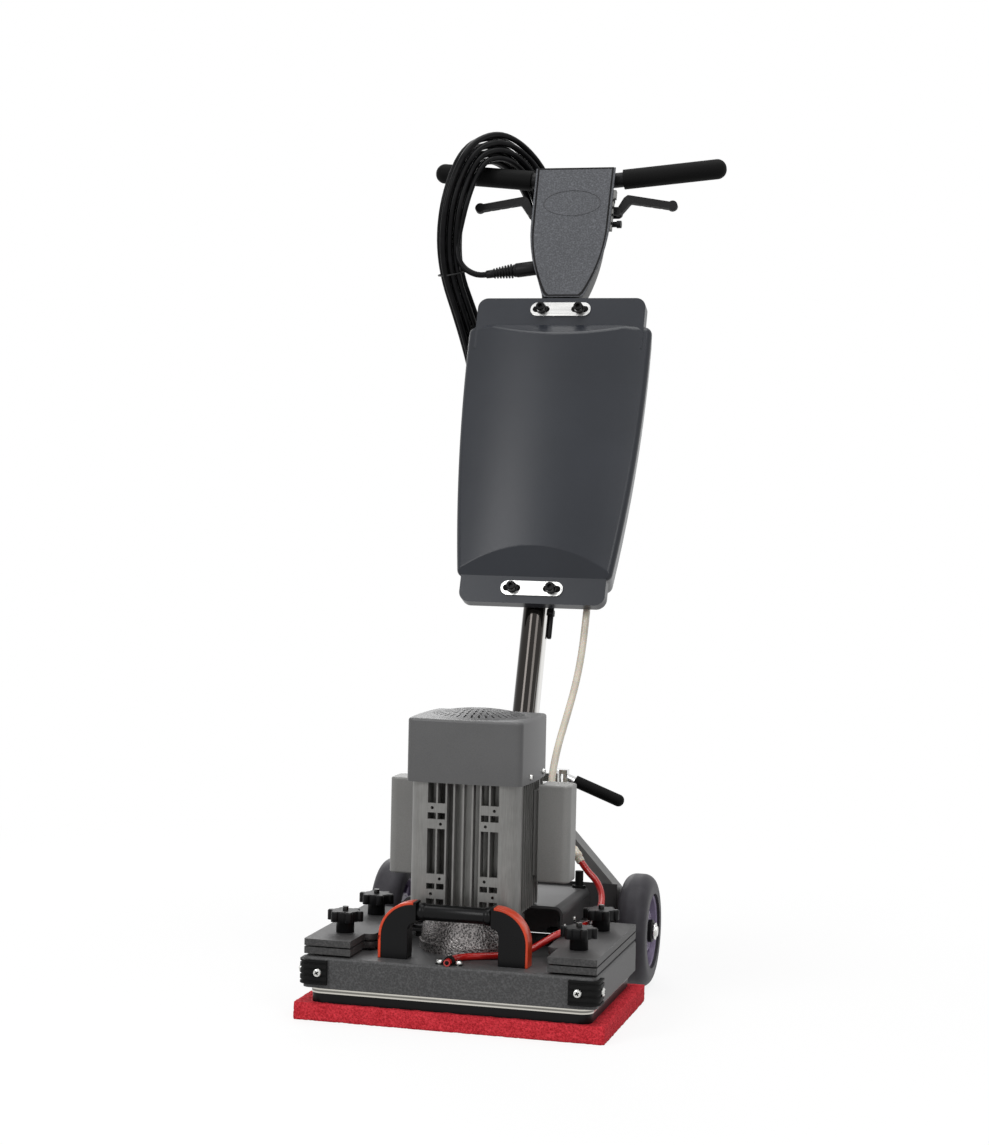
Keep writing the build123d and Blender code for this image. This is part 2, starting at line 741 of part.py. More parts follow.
def make_yoke():
    outer = arm_x + arm_width / 2
    inner = arm_x - arm_width / 2
    cheek_outer = knuckle_half + side_gap + cheek_thickness
    slope = 1.094
    upper_start = arm_bend_z - 7 + (outer - cheek_outer) * slope
    lower_start = arm_bend_z - 14 + (inner - cheek_outer) * slope
    foot = wheel_radius - arm_foot
    outline = front_outline([(cheek_outer, upper_start), (outer, arm_bend_z - 7), (outer, foot), (inner, foot),
                             (inner, arm_bend_z - 14), (cheek_outer, lower_start)])
    bends = outline.vertices().filter_by_position(Axis.Y, arm_bend_z - 15, arm_bend_z - 6)
    outline = fillet(bends, 14)
    turned = Plane(origin=(0, arm_front + arm_depth, 0), x_dir=(1, 0, 0), z_dir=(0, -1, 0))
    arm = extrude(turned * outline, arm_depth)
    arm -= extrude(turned * offset(outline, -arm_wall), arm_depth - arm_wall)
    arm += crosswise(axle_radius + 6, inner, outer, axle_y, wheel_radius)
    arm -= crosswise(axle_radius, inner - 1, outer + 1, axle_y, wheel_radius)
    cheek = block(cheek_outer - cheek_thickness, cheek_outer, arm_front, arm_front + cheek_width,
                  lower_start - 4, pivot_z + cheek_top)
    cheek = fillet(cheek.edges().filter_by(Axis.X).sort_by(Axis.Z)[-2:], 18)
    cheek -= crosswise(pivot_radius, 0, cheek_outer + 1, pivot_y, pivot_z)
    arm += cheek
    save(arm, "yoke_arm_right")
    save(mirrored(arm), "yoke_arm_left")

    bolt = crosswise(pivot_radius, -cheek_outer - 8, cheek_outer + 6, pivot_y, pivot_z)
    bolt += Pos(-cheek_outer - 8, pivot_y, pivot_z) * Rot(0, 90, 0) * hexagon_head(12, 8)
    bolt += crosswise(12, cheek_outer, cheek_outer + 4, pivot_y, pivot_z)
    tongue = block(cheek_outer + 3, lock_pin_x + 8, pivot_y - 7, pivot_y + 7,
                   pivot_z - tongue_height / 2, pivot_z + tongue_height / 2)
    tongue = fillet(tongue.edges().filter_by(Axis.Z).sort_by(Axis.X)[-2:], 6)
    bolt += tongue
    bolt -= upright(lock_pin_radius + running_gap, 0, 2 * pivot_z, lock_pin_x, pivot_y)
    save(bolt, "pivot_bolt")


def make_lock_lever():
    gap = tongue_height / 2 + side_gap
    fork = None
    for side in (-1, 1):
        z0 = pivot_z + side * gap
        z1 = pivot_z + side * (gap + prong_height)
        prong = upright(prong_radius, min(z0, z1), prong_height, lock_pin_x, pivot_y)
        prong += block(lock_pin_x, lock_neck_x, pivot_y - prong_radius + 2, pivot_y + prong_radius - 2, z0, z1)
        fork = prong if fork is None else fork + prong
    fork += block(lock_neck_x - 6, lock_neck_x, pivot_y - prong_radius + 2, pivot_y + prong_radius - 2,
                  pivot_z - gap - prong_height, pivot_z + gap + prong_height)
    fork += upright(lock_pin_radius, pivot_z - gap - prong_height, 2 * (gap + prong_height), lock_pin_x, pivot_y)
    along = Pos(lock_neck_x, pivot_y, pivot_z) * Rot(0, 90 + lock_droop, 0)
    fork += along * Pos(0, 0, 3) * Cylinder(6, 18)
    save(fork, "lock_lever_fork")
    grip = along * Pos(0, 0, 12 + (lock_reach - 12) / 2) * Cylinder(lock_grip_radius, lock_reach - 12)
    ends = grip.edges().filter_by(GeomType.CIRCLE).sort_by(Axis.X)
    grip = fillet(ends[-1], lock_grip_radius - 0.5)
    save(grip, "lock_lever_grip")


# ---------------------------------------------------------------- handle tube and bar
def make_handle():
    tube = upright(tube_radius, knuckle_radius, tube_top - knuckle_radius)
    tube -= upright(tube_radius - tube_wall, knuckle_radius + 40, tube_top)
    tube += crosswise(knuckle_radius, -knuckle_half, knuckle_half, 0, 0)
    tube += upright(tube_radius, 0, knuckle_radius + 1)
    tube -= crosswise(pivot_radius + running_gap, -knuckle_half - 1, knuckle_half + 1, 0, 0)
    rise = tan(radians(bar_rise))
    middle = (0, -bar_forward, bar_centre)
    bar, grips = None, []
    for side in (-1, 1):
        turn = Pos(*middle) * Rot(0, side * (90 - bar_rise), 0)
        run = bar_half / cos(radians(bar_rise))
        half = turn * Pos(0, 0, run / 2) * Cylinder(bar_radius, run)
        bar = half if bar is None else bar + half
        start = grip_inner / cos(radians(bar_rise))
        sleeve = turn * Pos(0, 0, (start + run + 6) / 2) * Cylinder(grip_radius, run + 6 - start)
        end = sleeve.edges().filter_by(GeomType.CIRCLE).sort_by(Axis.X)[-1 if side > 0 else 0]
        sleeve = fillet(end, grip_radius - 1)
        sleeve -= turn * Pos(0, 0, run / 2) * Cylinder(bar_radius, run)
        grips.append(sleeve)
    save(in_handle(tube - bar), "handle_tube")
    save(in_handle(bar), "handlebar")
    save(in_handle(grips[0]), "grip_left")
    save(in_handle(grips[1]), "grip_right")


# ---------------------------------------------------------------- water tank
def tank_section(inset, narrower, y):
    """Outline of the tank seen from the front, drawn at depth y in the handle's own frame."""
    half_low = tank_half_bottom - inset - narrower
    half_middle = tank_half_middle - inset - narrower
    half_high = tank_half_top - inset - narrower
    bottom = tank_bottom + inset
    top = tank_shoulder - inset
    level = (bottom + top) / 2
    outline = make_face([
        Line((-half_low, bottom), (half_low, bottom)),
        ThreePointArc((half_low, bottom), (half_middle, level), (half_high, top)),
        Line((half_high, top), (-half_high, top)),
        ThreePointArc((-half_high, top), (-half_middle, level), (-half_low, bottom)),
    ])
    return Plane(origin=(0, y, 0), x_dir=(1, 0, 0), z_dir=(0, -1, 0)) * fillet(outline.vertices(), tank_round)


def slanted_cut(level, rise, inset):
    """Wedge that cuts the tank front from the bowed face at level back to the flange, rise further along."""
    slope = rise / (tank_front - flange_front)
    shift = inset * sqrt(1 + slope ** 2) * (1 if rise > 0 else -1)
    reach = 40
    near = level - shift - slope * reach
    far = level - shift + slope * tank_front
    beyond = -1000 if rise < 0 else 2000
    corners = [(-tank_front - reach, near), (0, far), (0, beyond), (-tank_front - reach, beyond)]
    wedge = make_face(Polyline(*corners, close=True))
    side = Plane(origin=(-tank_half_top - 10, 0, 0), x_dir=(0, 1, 0), z_dir=(1, 0, 0))
    return extrude(side * wedge, 2 * tank_half_top + 20)


def tank_body(inset):
    front = tank_section(inset, 0, -tank_front)
    back = tank_section(inset, tank_draft, tank_back - inset)
    body = loft([front, back], ruled=True)
    bow_radius = (tank_half_bottom ** 2 + tank_bow ** 2) / (2 * tank_bow)
    body &= upright(bow_radius - inset, tank_bottom - 10, tank_shoulder - tank_bottom + 20, 0, bow_radius - tank_front)
    front_face = body.faces().filter_by(GeomType.CYLINDER).sort_by(SortBy.AREA)[-1]
    body = fillet(front_face.edges(), tank_edge)
    body -= slanted_cut(shoulder_level, shoulder_rise, inset)
    body -= slanted_cut(arch_level, -arch_drop, inset)
    return body


def make_tank():
    tank = tank_body(0)
    creases = tank.edges().filter_by(GeomType.ELLIPSE).filter_by(lambda edge: edge.length > tank_half_bottom)
    tank = fillet(creases.sort_by(Axis.Z)[-1], shoulder_edge)
    creases = tank.edges().filter_by(GeomType.ELLIPSE).filter_by(lambda edge: edge.length > tank_half_bottom)
    tank = fillet(creases.sort_by(Axis.Z)[0], arch_edge)
    top = block(-flange_half_top, flange_half_top, -flange_front, -channel_front, tank_shoulder - 40, tank_top)
    tank += fillet(top.edges().filter_by(Axis.Y).sort_by(Axis.Z)[-2:], flange_corner)
    low = block(-flange_half_bottom, flange_half_bottom, -flange_front, -channel_front, flange_foot, tank_bottom + 8)
    tank += fillet(low.edges().filter_by(Axis.Y).sort_by(Axis.Z)[:2], flange_corner)
    channel = (-channel_half, channel_half, -channel_front, tank_back + 1, flange_foot - 1, tank_top + 1)
    tank -= block(*channel)
    room = block(-channel_half - tank_wall, channel_half + tank_wall, -channel_front - tank_wall, tank_back + 1,
                 flange_foot - 1, tank_top + 1)
    tank -= tank_body(tank_wall) - room
    tank += upright(outlet_radius, tank_bottom - outlet_length, outlet_length + tank_wall / 2,
                    outlet_x, -outlet_forward)
    save(in_handle(tank), "water_tank")

    cap = upright(cap_radius, tank_shoulder, cap_height, cap_x, -cap_forward)
    for number in range(12):
        notch = Rot(0, 0, 30 * number) * Pos(cap_radius + 1, 0, 0)
        cap -= Pos(cap_x, -cap_forward, tank_shoulder + cap_height / 2 + 2) * notch * Cylinder(2.4, cap_height)
    cap = chamfer(cap.faces().sort_by(Axis.Z)[-1].edges(), 1)
    save(in_handle(Pos(0, 0, side_gap) * cap), "tank_cap")

    straps, screws, clamps = [], [], []
    slot = SlotOverall(2 * strap_half, strap_width)
    for level in (strap_level_top, strap_level_bottom):
        face = Plane(origin=(0, -flange_front, level), x_dir=(1, 0, 0), z_dir=(0, -1, 0))
        straps.append(extrude(face * slot, strap_thickness))
        for x in (-strap_hole_x, strap_hole_x):
            front = -flange_front - strap_thickness
            head = lengthwise(screw_head_radius, front - screw_head_height, front, x, level)
            screws.append(chamfer(head.edges().filter_by(GeomType.CIRCLE).sort_by(Axis.Y)[0], 1.5))
        clamp = block(-channel_half + 1, channel_half - 1, -channel_front, -channel_front + clamp_thickness,
                      level - strap_width / 2, level + strap_width / 2)
        clamps.append(clamp)
    save(in_handle(group(straps + clamps)), "tank_straps")
    save(in_handle(group(screws)), "strap_screws")


# ---------------------------------------------------------------- control box, levers and button
def box_outline(inset, bottom, top):
    """Tapered outline of the control box: nearly parallel above, narrowing in an arc to the foot."""
    low, foot = plate_half_low - inset, plate_half_bottom - inset
    middle, high = plate_half_middle - inset, plate_half_top - inset
    corner = bottom + plate_chamfer
    right = [Line((foot - plate_chamfer, bottom), (foot, corner)),
             ThreePointArc((foot, corner), (low, plate_low), (middle, plate_knee)),
             Line((middle, plate_knee), (high, top))]
    left = [Line((-high, top), (-middle, plate_knee)),
            ThreePointArc((-middle, plate_knee), (-low, plate_low), (-foot, corner)),
            Line((-foot, corner), (plate_chamfer - foot, bottom))]
    return make_face([Line((plate_chamfer - foot, bottom), (foot - plate_chamfer, bottom)), *right,
                      Line((high, top), (-high, top)), *left])


def box_section(inset, y, bottom, top):
    return Plane(origin=(0, y, 0), x_dir=(1, 0, 0), z_dir=(0, -1, 0)) * box_outline(inset, bottom, top)


def make_control_box():
    plate = extrude(box_section(0, -plate_front, box_bottom, box_top), plate_sheet)
    groove = Ellipse(groove_half_width, groove_half_height) - Ellipse(groove_half_width - 1.5,
                                                                     groove_half_height - 1.5)
    plate -= Plane(origin=(0, -plate_front - plate_sheet + 0.6, groove_level), x_dir=(1, 0, 0),
                   z_dir=(0, -1, 0)) * extrude(groove, 2)
    save(in_handle(plate), "control_plate")

    bottom = box_bottom + 1
    shape = loft([box_section(housing_inset, -plate_front, bottom, box_top),
                  box_section(housing_taper, housing_back, bottom, box_top + housing_rise)], ruled=True)
    wall = housing_wall
    shape -= loft([box_section(housing_inset + wall, -plate_front, bottom + wall, box_top - wall),
                   box_section(housing_taper + wall, housing_back - wall, bottom + wall,
                               box_top + housing_rise - wall)], ruled=True)
    shape -= upright(tube_radius + skin_gap, box_bottom - 1, 40)
    for side in (-1, 1):
        turn = Pos(0, -bar_forward, bar_centre) * Rot(0, side * (90 - bar_rise), 0)
        shape -= turn * Pos(0, 0, 60) * Cylinder(bar_radius + skin_gap, 60)
    hang = lever_thickness / 2 + side_gap
    wall_x = plate_half_middle - (housing_inset + housing_taper) / 2
    for side in (-1, 1):
        for edge in (-1, 1):
            y0 = -lever_forward + edge * hang
            y1 = y0 + edge * ear_thickness
            shape += lengthwise(7, y0, y1, side * lever_pivot_x, lever_pivot_level)
            shape += block(side * wall_x, side * lever_pivot_x, min(y0, y1), max(y0, y1),
                           lever_pivot_level - 7, lever_pivot_level + 7)
        shape += lengthwise(lever_pin_radius, -lever_forward - hang - 1, -lever_forward + hang + 1,
                            side * lever_pivot_x, lever_pivot_level)
    shape -= crosswise(button_neck + running_gap, 30, 80, -button_forward, button_level)
    shape -= gland_frame() * Pos(0, 0, nut_length / 2) * Cylinder(nut_radius, nut_length)
    save(in_handle(shape), "control_housing")

    cap_end = wall_x + button_reach
    button = crosswise(button_neck, wall_x - 12, cap_end, -button_forward, button_level)
    button += crosswise(button_radius, cap_end - button_cap, cap_end, -button_forward, button_level)
    save(in_handle(button), "safety_button")


def trigger():
    """Right-hand trigger lever: pivot boss, cranked neck and an arm with finger scallops and a ball end."""
    x, z = lever_pivot_x, lever_pivot_level
    outline = front_outline([(x - 4, z), (x + 5, z - 5), (x + 20, z + 16), (x + 84, z + 5), (x + 84, z + 17),
                             (x + 14, z + 30), (x + 8, z + 25)])
    outline = fillet(outline.vertices().filter_by_position(Axis.Y, z + 15, z + 31).sort_by(Axis.X)[:3], 3)
    outline += Pos(x, z) * Circle(lever_boss)
    outline += Pos(x + 87, z + 11) * Circle(lever_ball)
    for number in range(3):
        outline -= Pos(x + 36 + 16 * number, z + 5.5 - 2.75 * number) * Circle(lever_ball)
    outline -= Pos(x, z) * Circle(lever_pin_radius + running_gap)
    face = Plane(origin=(0, -lever_forward + lever_thickness / 2, 0), x_dir=(1, 0, 0), z_dir=(0, -1, 0))
    return extrude(face * outline, lever_thickness)


def make_triggers():
    right = trigger()
    save(in_handle(right), "trigger_right")
    save(in_handle(mirrored(right)), "trigger_left")


# ---------------------------------------------------------------- cords and hoses
def gland_frame():
    return Pos(-gland_x, -gland_forward, gland_level) * Rot(0, -90 - gland_droop, 0)


def make_gland():
    along = gland_frame()
    length = nut_length + relief_length + sleeve_length
    gland = along * Pos(0, 0, nut_length / 2) * Cylinder(nut_radius, nut_length)
    gland = chamfer(gland.edges().filter_by(GeomType.CIRCLE).sort_by(Axis.X)[0], 2)
    gland += along * Pos(0, 0, nut_length + relief_length / 2) * Cylinder(sleeve_radius, relief_length)
    for number in range(relief_rings):
        level = nut_length + relief_length * (number + 0.6) / relief_rings
        gland += along * Pos(0, 0, level) * Cylinder(nut_radius - 2 - 0.4 * number, 3)
    gland += along * Pos(0, 0, length - sleeve_length / 2) * Cylinder(sleeve_radius, sleeve_length)
    save(in_handle(gland), "cord_gland")
    return Plane(handle_plane.location * along * Pos(0, 0, length))


def make_cords(gland_end):
    start = gland_end.origin
    beyond = start + gland_end.z_dir * 14
    route = [tuple(start), tuple(beyond), (-159, 535, 1080), (-165, 540, 1094)]
    lead = soft_tube(route, cord_radius, "cord_lead")
    save(lead, "cord_lead")

    loop = [(-145, 602, 1288), (-170, 556, 1265), (-181, 545, 1200), (-188, 547, 1135), (-188, 556, 1075),
            (-172, 577, 1010), (-157, 597, 957), (-140, 600, 918), (-116, 606, 888), (-86, 610, 878),
            (-61, 617, 895), (-47, 628, 934), (-44, 642, 990), (-48, 655, 1045), (-56, 672, 1112),
            (-72, 688, 1185), (-92, 676, 1243), (-118, 646, 1281)]
    corners = [Vector(*point) for point in loop]
    radii = []
    for number, here in enumerate(corners):
        before = corners[number - 1]
        after = corners[(number + 1) % len(corners)]
        turn = (here - before).get_angle(after - here)
        run = min((here - before).length, (after - here).length)
        radii.append(0.45 * run / tan(radians(turn) / 2))
    path = FilletPolyline(*corners, radius=radii, close=True)
    edges = path.edges()
    half = len(edges) // 2
    coil = None
    for piece in (edges[:half], edges[half:]):
        wire = Wire(piece)
        stretch = sweep(Plane(origin=wire @ 0, z_dir=wire % 0) * Circle(coil_radius), path=wire)
        coil = stretch if coil is None else coil + stretch
    print("cord_coil radii", [round(value) for value in radii], "turn length", round(path.length),
          "volume ratio", round(coil.volume / (pi * coil_radius ** 2 * path.length), 3))
    save(coil, "cord_coil")

    plug_x, plug_y, plug_top = -90, 610, 882 - coil_radius - 4
    plug = upright(7, plug_top - 14, 24, plug_x, plug_y)
    plug += upright(18, plug_top - 50, 38, plug_x, plug_y)
    plug = fillet(plug.edges().filter_by(GeomType.CIRCLE).sort_by(Axis.Z)[2], 5)
    for side in (-1, 1):
        plug += upright(2.4, plug_top - 69, 20, plug_x + 9.5 * side, plug_y)
    save(plug, "cord_plug")


def make_hoses():
    outlet = handle_point(outlet_x, -outlet_forward, tank_bottom - outlet_length)
    below = handle_point(outlet_x, -outlet_forward, tank_bottom - outlet_length - 56)
    joint = (108, 176, 199)
    white = [(outlet.X, outlet.Y, outlet.Z), (below.X, below.Y, below.Z), (77, 302, 446), (70, 272, 396),
             (60, 240, 340), (58, 212, 286), (76, 190, 241), joint]
    save(soft_tube(white, hose_radius, "solution_hose"), "solution_hose")
    hose_rest = deck_top + feed_radius
    red = [joint, (122, 169.875, 180.625), (140, 170, 164), (150, 160, 143), (150, 132, 122), (146, 84, 118),
           (138, 34, 118.5), (121, -6, 118), (104, -28, 107), (84, -45, 95), (58, -68, hose_rest),
           (24, -86, hose_rest), (4, -102, hose_rest), (-0.5, -119, hose_rest), (-0.5, -147, hose_rest)]
    feed = soft_tube(red, feed_radius, "feed_hose")
    save(feed, "feed_hose")

    clip_x, clip_y = -0.5, -133
    clip = lengthwise(feed_radius + 2, clip_y - 5, clip_y + 5, clip_x, hose_rest)
    clip += block(clip_x - 18, clip_x + 18, clip_y - 5, clip_y + 5, deck_top, deck_top + 2)
    clip &= block(clip_x - 18, clip_x + 18, clip_y - 5, clip_y + 5, deck_top, deck_top + 20)
    clip -= lengthwise(feed_radius + running_gap, clip_y - 6, clip_y + 6, clip_x, hose_rest)
    save(clip, "hose_clip")
    domes = []
    for x in (clip_x - 13, clip_x + 13):
        dome = Pos(x, clip_y, deck_top + 2) * Sphere(5) & block(x - 6, x + 6, clip_y - 6, clip_y + 6,
                                                                deck_top + 2, deck_top + 8)
        domes.append(dome)
    save(group(domes + make_screws()), "deck_screws")


make_pad_and_driver()
make_deck()
make_weights()
make_lift_handle()
make_motor_base()
make_motor_frame()
make_motor_inside()
make_fan_cover()
make_capacitor_boxes()
make_bridge()
make_wheels()
make_yoke()
make_lock_lever()
make_handle()
make_tank()
make_control_box()
make_triggers()
gland_end = make_gland()
make_cords(gland_end)
make_hoses()
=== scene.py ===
import json
import random
import bmesh
import bpy
from math import atan2, cos, pi, radians, sin
from mathutils import Matrix, Vector, noise


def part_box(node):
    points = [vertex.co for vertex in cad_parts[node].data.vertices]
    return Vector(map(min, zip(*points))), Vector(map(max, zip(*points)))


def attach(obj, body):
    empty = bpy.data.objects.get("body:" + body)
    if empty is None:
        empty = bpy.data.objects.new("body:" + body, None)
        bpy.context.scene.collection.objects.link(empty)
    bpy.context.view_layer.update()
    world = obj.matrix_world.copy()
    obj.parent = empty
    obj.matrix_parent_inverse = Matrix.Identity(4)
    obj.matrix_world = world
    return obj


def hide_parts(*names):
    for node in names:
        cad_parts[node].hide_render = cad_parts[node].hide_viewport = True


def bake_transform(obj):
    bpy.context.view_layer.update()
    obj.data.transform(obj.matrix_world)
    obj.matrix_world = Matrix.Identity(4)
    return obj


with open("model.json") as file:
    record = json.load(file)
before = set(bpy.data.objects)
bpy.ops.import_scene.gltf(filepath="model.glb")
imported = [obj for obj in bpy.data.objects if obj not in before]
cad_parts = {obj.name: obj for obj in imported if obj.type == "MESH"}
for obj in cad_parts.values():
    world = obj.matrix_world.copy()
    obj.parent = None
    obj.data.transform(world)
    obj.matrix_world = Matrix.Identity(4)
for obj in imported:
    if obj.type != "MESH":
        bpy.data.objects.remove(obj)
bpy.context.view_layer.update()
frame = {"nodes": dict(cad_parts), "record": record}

record = frame["record"]
joints = {joint["name"]: joint for joint in record["behaviour"]["joints"]}
tiltPivot = Vector(joints["handle_tilt"]["pos_m"])
tubeAxis = Vector(joints["tank_cap_turn"]["axis"]).normalized()
handleBack = Vector((1, 0, 0)).cross(tubeAxis) * -1
handleFrame = Matrix.Translation(tiltPivot) @ Matrix((
    (1, 0, 0, 0), (0, handleBack.y, tubeAxis.y, 0), (0, handleBack.z, tubeAxis.z, 0), (0, 0, 0, 1)))


def low(node):
    return Vector(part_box(node)[0])


def high(node):
    return Vector(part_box(node)[1])


def middle(node):
    return (low(node) + high(node)) / 2


def onHandle(x, y, z):
    return handleFrame @ Vector((x, y, z))


# Camera, lamps and floor

def makeCamera():
    view = dict(place=(0.81599, -3.34214, 0.73218), forward=(-0.28865, 0.95717, -0.02259),
                right=(0.95709, 0.28910, 0.02017), lens=77.9, shift=(0.1263, -0.0301))
    data = bpy.data.cameras.new("camera")
    data.lens = view["lens"]
    data.sensor_width = 36
    data.shift_x, data.shift_y = view["shift"]
    camera = bpy.data.objects.new("camera", data)
    bpy.context.collection.objects.link(camera)
    forward = Vector(view["forward"]).normalized()
    right = Vector(view["right"]).normalized()
    up = right.cross(forward)
    turn = Matrix((right, up, -forward)).transposed().to_4x4()
    camera.matrix_world = Matrix.Translation(view["place"]) @ turn
    bpy.context.scene.camera = camera


def makeLamp(name, place, size, power, target=(0, 0.15, 0.6)):
    data = bpy.data.lights.new(name, "AREA")
    data.shape = "RECTANGLE"
    data.size, data.size_y = size
    data.energy = power
    lamp = bpy.data.objects.new(name, data)
    lamp.location = place
    lamp.rotation_euler = (Vector(target) - Vector(place)).to_track_quat("-Z", "Y").to_euler()
    bpy.context.collection.objects.link(lamp)


def addMaths(tree, operation, first, second):
    node = tree.nodes.new("ShaderNodeMath")
    node.operation = operation
    tree.links.new(first, node.inputs[0])
    tree.links.new(second, node.inputs[1])
    return node.outputs[0]


def makeLight():
    light = dict(key=60, fill=36, top=46, rear=22, around=0.28, shown=1.0)
    scene = bpy.context.scene
    scene.view_settings.view_transform = "Standard"
    makeLamp("keyLamp", (-1.9, -3.0, 2.6), (1.2, 1.8), light["key"], (0, 0.2, 0.8))
    makeLamp("fillLamp", (2.2, -2.7, 2.4), (1.2, 1.8), light["fill"], (0, 0.2, 0.8))
    makeLamp("topLamp", (0.2, 0.2, 3.3), (2.2, 2.2), light["top"])
    makeLamp("rearLamp", (-1.2, 3.0, 2.0), (1.6, 1.6), light["rear"])
    world = bpy.data.worlds.new("studio")
    scene.world = world
    world.use_nodes = True
    tree = world.node_tree
    background = tree.nodes["Background"]
    background.inputs["Color"].default_value = (1, 1, 1, 1)
    # the camera, metal and glass see white paper, and the rest gets a plain level of light
    path = tree.nodes.new("ShaderNodeLightPath")
    seen = addMaths(tree, "MAXIMUM", path.outputs["Is Camera Ray"], path.outputs["Is Glossy Ray"])
    through = addMaths(tree, "MAXIMUM", seen, path.outputs["Is Transmission Ray"])
    strength = tree.nodes.new("ShaderNodeMapRange")
    strength.inputs["To Min"].default_value = light["around"]
    strength.inputs["To Max"].default_value = light["shown"]
    tree.links.new(through, strength.inputs["Value"])
    tree.links.new(strength.outputs["Result"], background.inputs["Strength"])


def makeFloor():
    floorPlan = dict(reach=9.0, paper=0.60, paperShare=0.74, glow=1.14, plainFrom=0.5, plainTo=1.9)
    shape = bmesh.new()
    bmesh.ops.create_grid(shape, x_segments=1, y_segments=1, size=floorPlan["reach"])
    mesh = bpy.data.meshes.new("floor")
    shape.to_mesh(mesh)
    shape.free()
    floor = bpy.data.objects.new("floor", mesh)
    bpy.context.collection.objects.link(floor)
    material = bpy.data.materials.new("paleFloor")
    material.use_nodes = True
    tree = material.node_tree
    nodes, links = tree.nodes, tree.links
    shader = nodes["Principled BSDF"]
    paper = floorPlan["paper"]
    shader.inputs["Base Color"].default_value = (paper, paper, paper, 1)
    shader.inputs["Roughness"].default_value = 0.9
    shader.inputs["Specular IOR Level"].default_value = 0.1
    glow = nodes.new("ShaderNodeEmission")
    glow.inputs["Color"].default_value = (1, 1, 1, 1)
    # near the machine the paper takes its shadow, and further out it runs into the white behind
    place = nodes.new("ShaderNodeTexCoord")
    distance = nodes.new("ShaderNodeVectorMath")
    distance.operation = "LENGTH"
    links.new(place.outputs["Object"], distance.inputs[0])
    share = nodes.new("ShaderNodeMapRange")
    share.interpolation_type = "SMOOTHSTEP"
    share.inputs["From Min"].default_value = floorPlan["plainFrom"]
    share.inputs["From Max"].default_value = floorPlan["plainTo"]
    share.inputs["To Min"].default_value = floorPlan["paperShare"]
    share.inputs["To Max"].default_value = 1.0
    links.new(distance.outputs["Value"], share.inputs["Value"])
    brightness = nodes.new("ShaderNodeMapRange")
    brightness.inputs["From Min"].default_value = floorPlan["paperShare"]
    brightness.inputs["From Max"].default_value = 1.0
    brightness.inputs["To Min"].default_value = floorPlan["glow"]
    brightness.inputs["To Max"].default_value = 1.0
    links.new(share.outputs["Result"], brightness.inputs["Value"])
    links.new(brightness.outputs["Result"], glow.inputs["Strength"])
    path = nodes.new("ShaderNodeLightPath")
    seen = addMaths(tree, "MAXIMUM", path.outputs["Is Camera Ray"], path.outputs["Is Glossy Ray"])
    mix = nodes.new("ShaderNodeMixShader")
    links.new(addMaths(tree, "MULTIPLY", seen, share.outputs["Result"]), mix.inputs[0])
    links.new(shader.outputs[0], mix.inputs[1])
    links.new(glow.outputs[0], mix.inputs[2])
    links.new(mix.outputs[0], nodes["Material Output"].inputs["Surface"])
    mesh.materials.append(material)


# Materials

# A value inside a material, which can be added to, multiplied and spread over a range
class Signal:
    def __init__(self, surface, socket):
        self.surface = surface
        self.socket = socket

    def maths(self, operation, other):
        node = self.surface.node("ShaderNodeMath", dict(operation=operation), {0: self, 1: other})
        return Signal(self.surface, node.outputs[0])

    def __add__(self, other):
        return self.maths("ADD", other)

    def __mul__(self, other):
        return self.maths("MULTIPLY", other)

    def between(self, start, end, first=0.0, last=1.0):
        node = self.surface.node("ShaderNodeMapRange", dict(interpolation_type="SMOOTHSTEP"), {
            "Value": self, "From Min": start, "From Max": end, "To Min": first, "To Max": last})
        return Signal(self.surface, node.outputs["Result"])


# One procedural material on object coordinates
class Surface:
    def __init__(self, name, color, roughness, **constants):
        self.material = bpy.data.materials.new(name)
        self.material.use_nodes = True
        self.tree = self.material.node_tree
        self.shader = self.tree.nodes["Principled BSDF"]
        self.shader.inputs["Base Color"].default_value = (*color, 1)
        self.shader.inputs["Roughness"].default_value = roughness
        for socket, value in constants.items():
            self.shader.inputs[socket.replace("_", " ")].default_value = value
        self.place = self.node("ShaderNodeTexCoord").outputs["Object"]

    def node(self, kind, settings=None, inputs=None):
        node = self.tree.nodes.new(kind)
        for key, value in (settings or {}).items():
            setattr(node, key, value)
        for key, value in (inputs or {}).items():
            if isinstance(value, Signal):
                value = value.socket
            if isinstance(value, bpy.types.NodeSocket):
                self.tree.links.new(value, node.inputs[key])
            else:
                node.inputs[key].default_value = value
        return node

    def stretched(self, x, y, z):
        return self.node("ShaderNodeVectorMath", dict(operation="MULTIPLY"), {0: self.place, 1: (x, y, z)}).outputs[0]

    def noise(self, scale, detail=3.0, roughness=0.5, place=None, distortion=0.0):
        node = self.node("ShaderNodeTexNoise", None, {
            "Vector": place or self.place, "Scale": scale, "Detail": detail, "Roughness": roughness,
            "Distortion": distortion})
        return Signal(self, node.outputs["Fac"])

    def cells(self, scale, feature="F1", place=None):
        node = self.node("ShaderNodeTexVoronoi", dict(feature=feature), {
            "Vector": place or self.place, "Scale": scale})
        return Signal(self, node.outputs["Distance"])

    def mixed(self, share, first, second):
        node = self.node("ShaderNodeMix", dict(data_type="RGBA"), {0: share, 6: (*first, 1), 7: (*second, 1)})
        return node.outputs[2]

    def feed(self, socket, value):
        if isinstance(value, Signal):
            value = value.socket
        self.tree.links.new(value, self.shader.inputs[socket])
        return self

    def bump(self, height, distance, strength=1.0):
        node = self.node("ShaderNodeBump", None, {"Height": height, "Distance": distance, "Strength": strength})
        self.tree.links.new(node.outputs["Normal"], self.shader.inputs["Normal"])
        return self


def tinted(color, factor):
    return tuple(min(1.0, part * factor) for part in color)


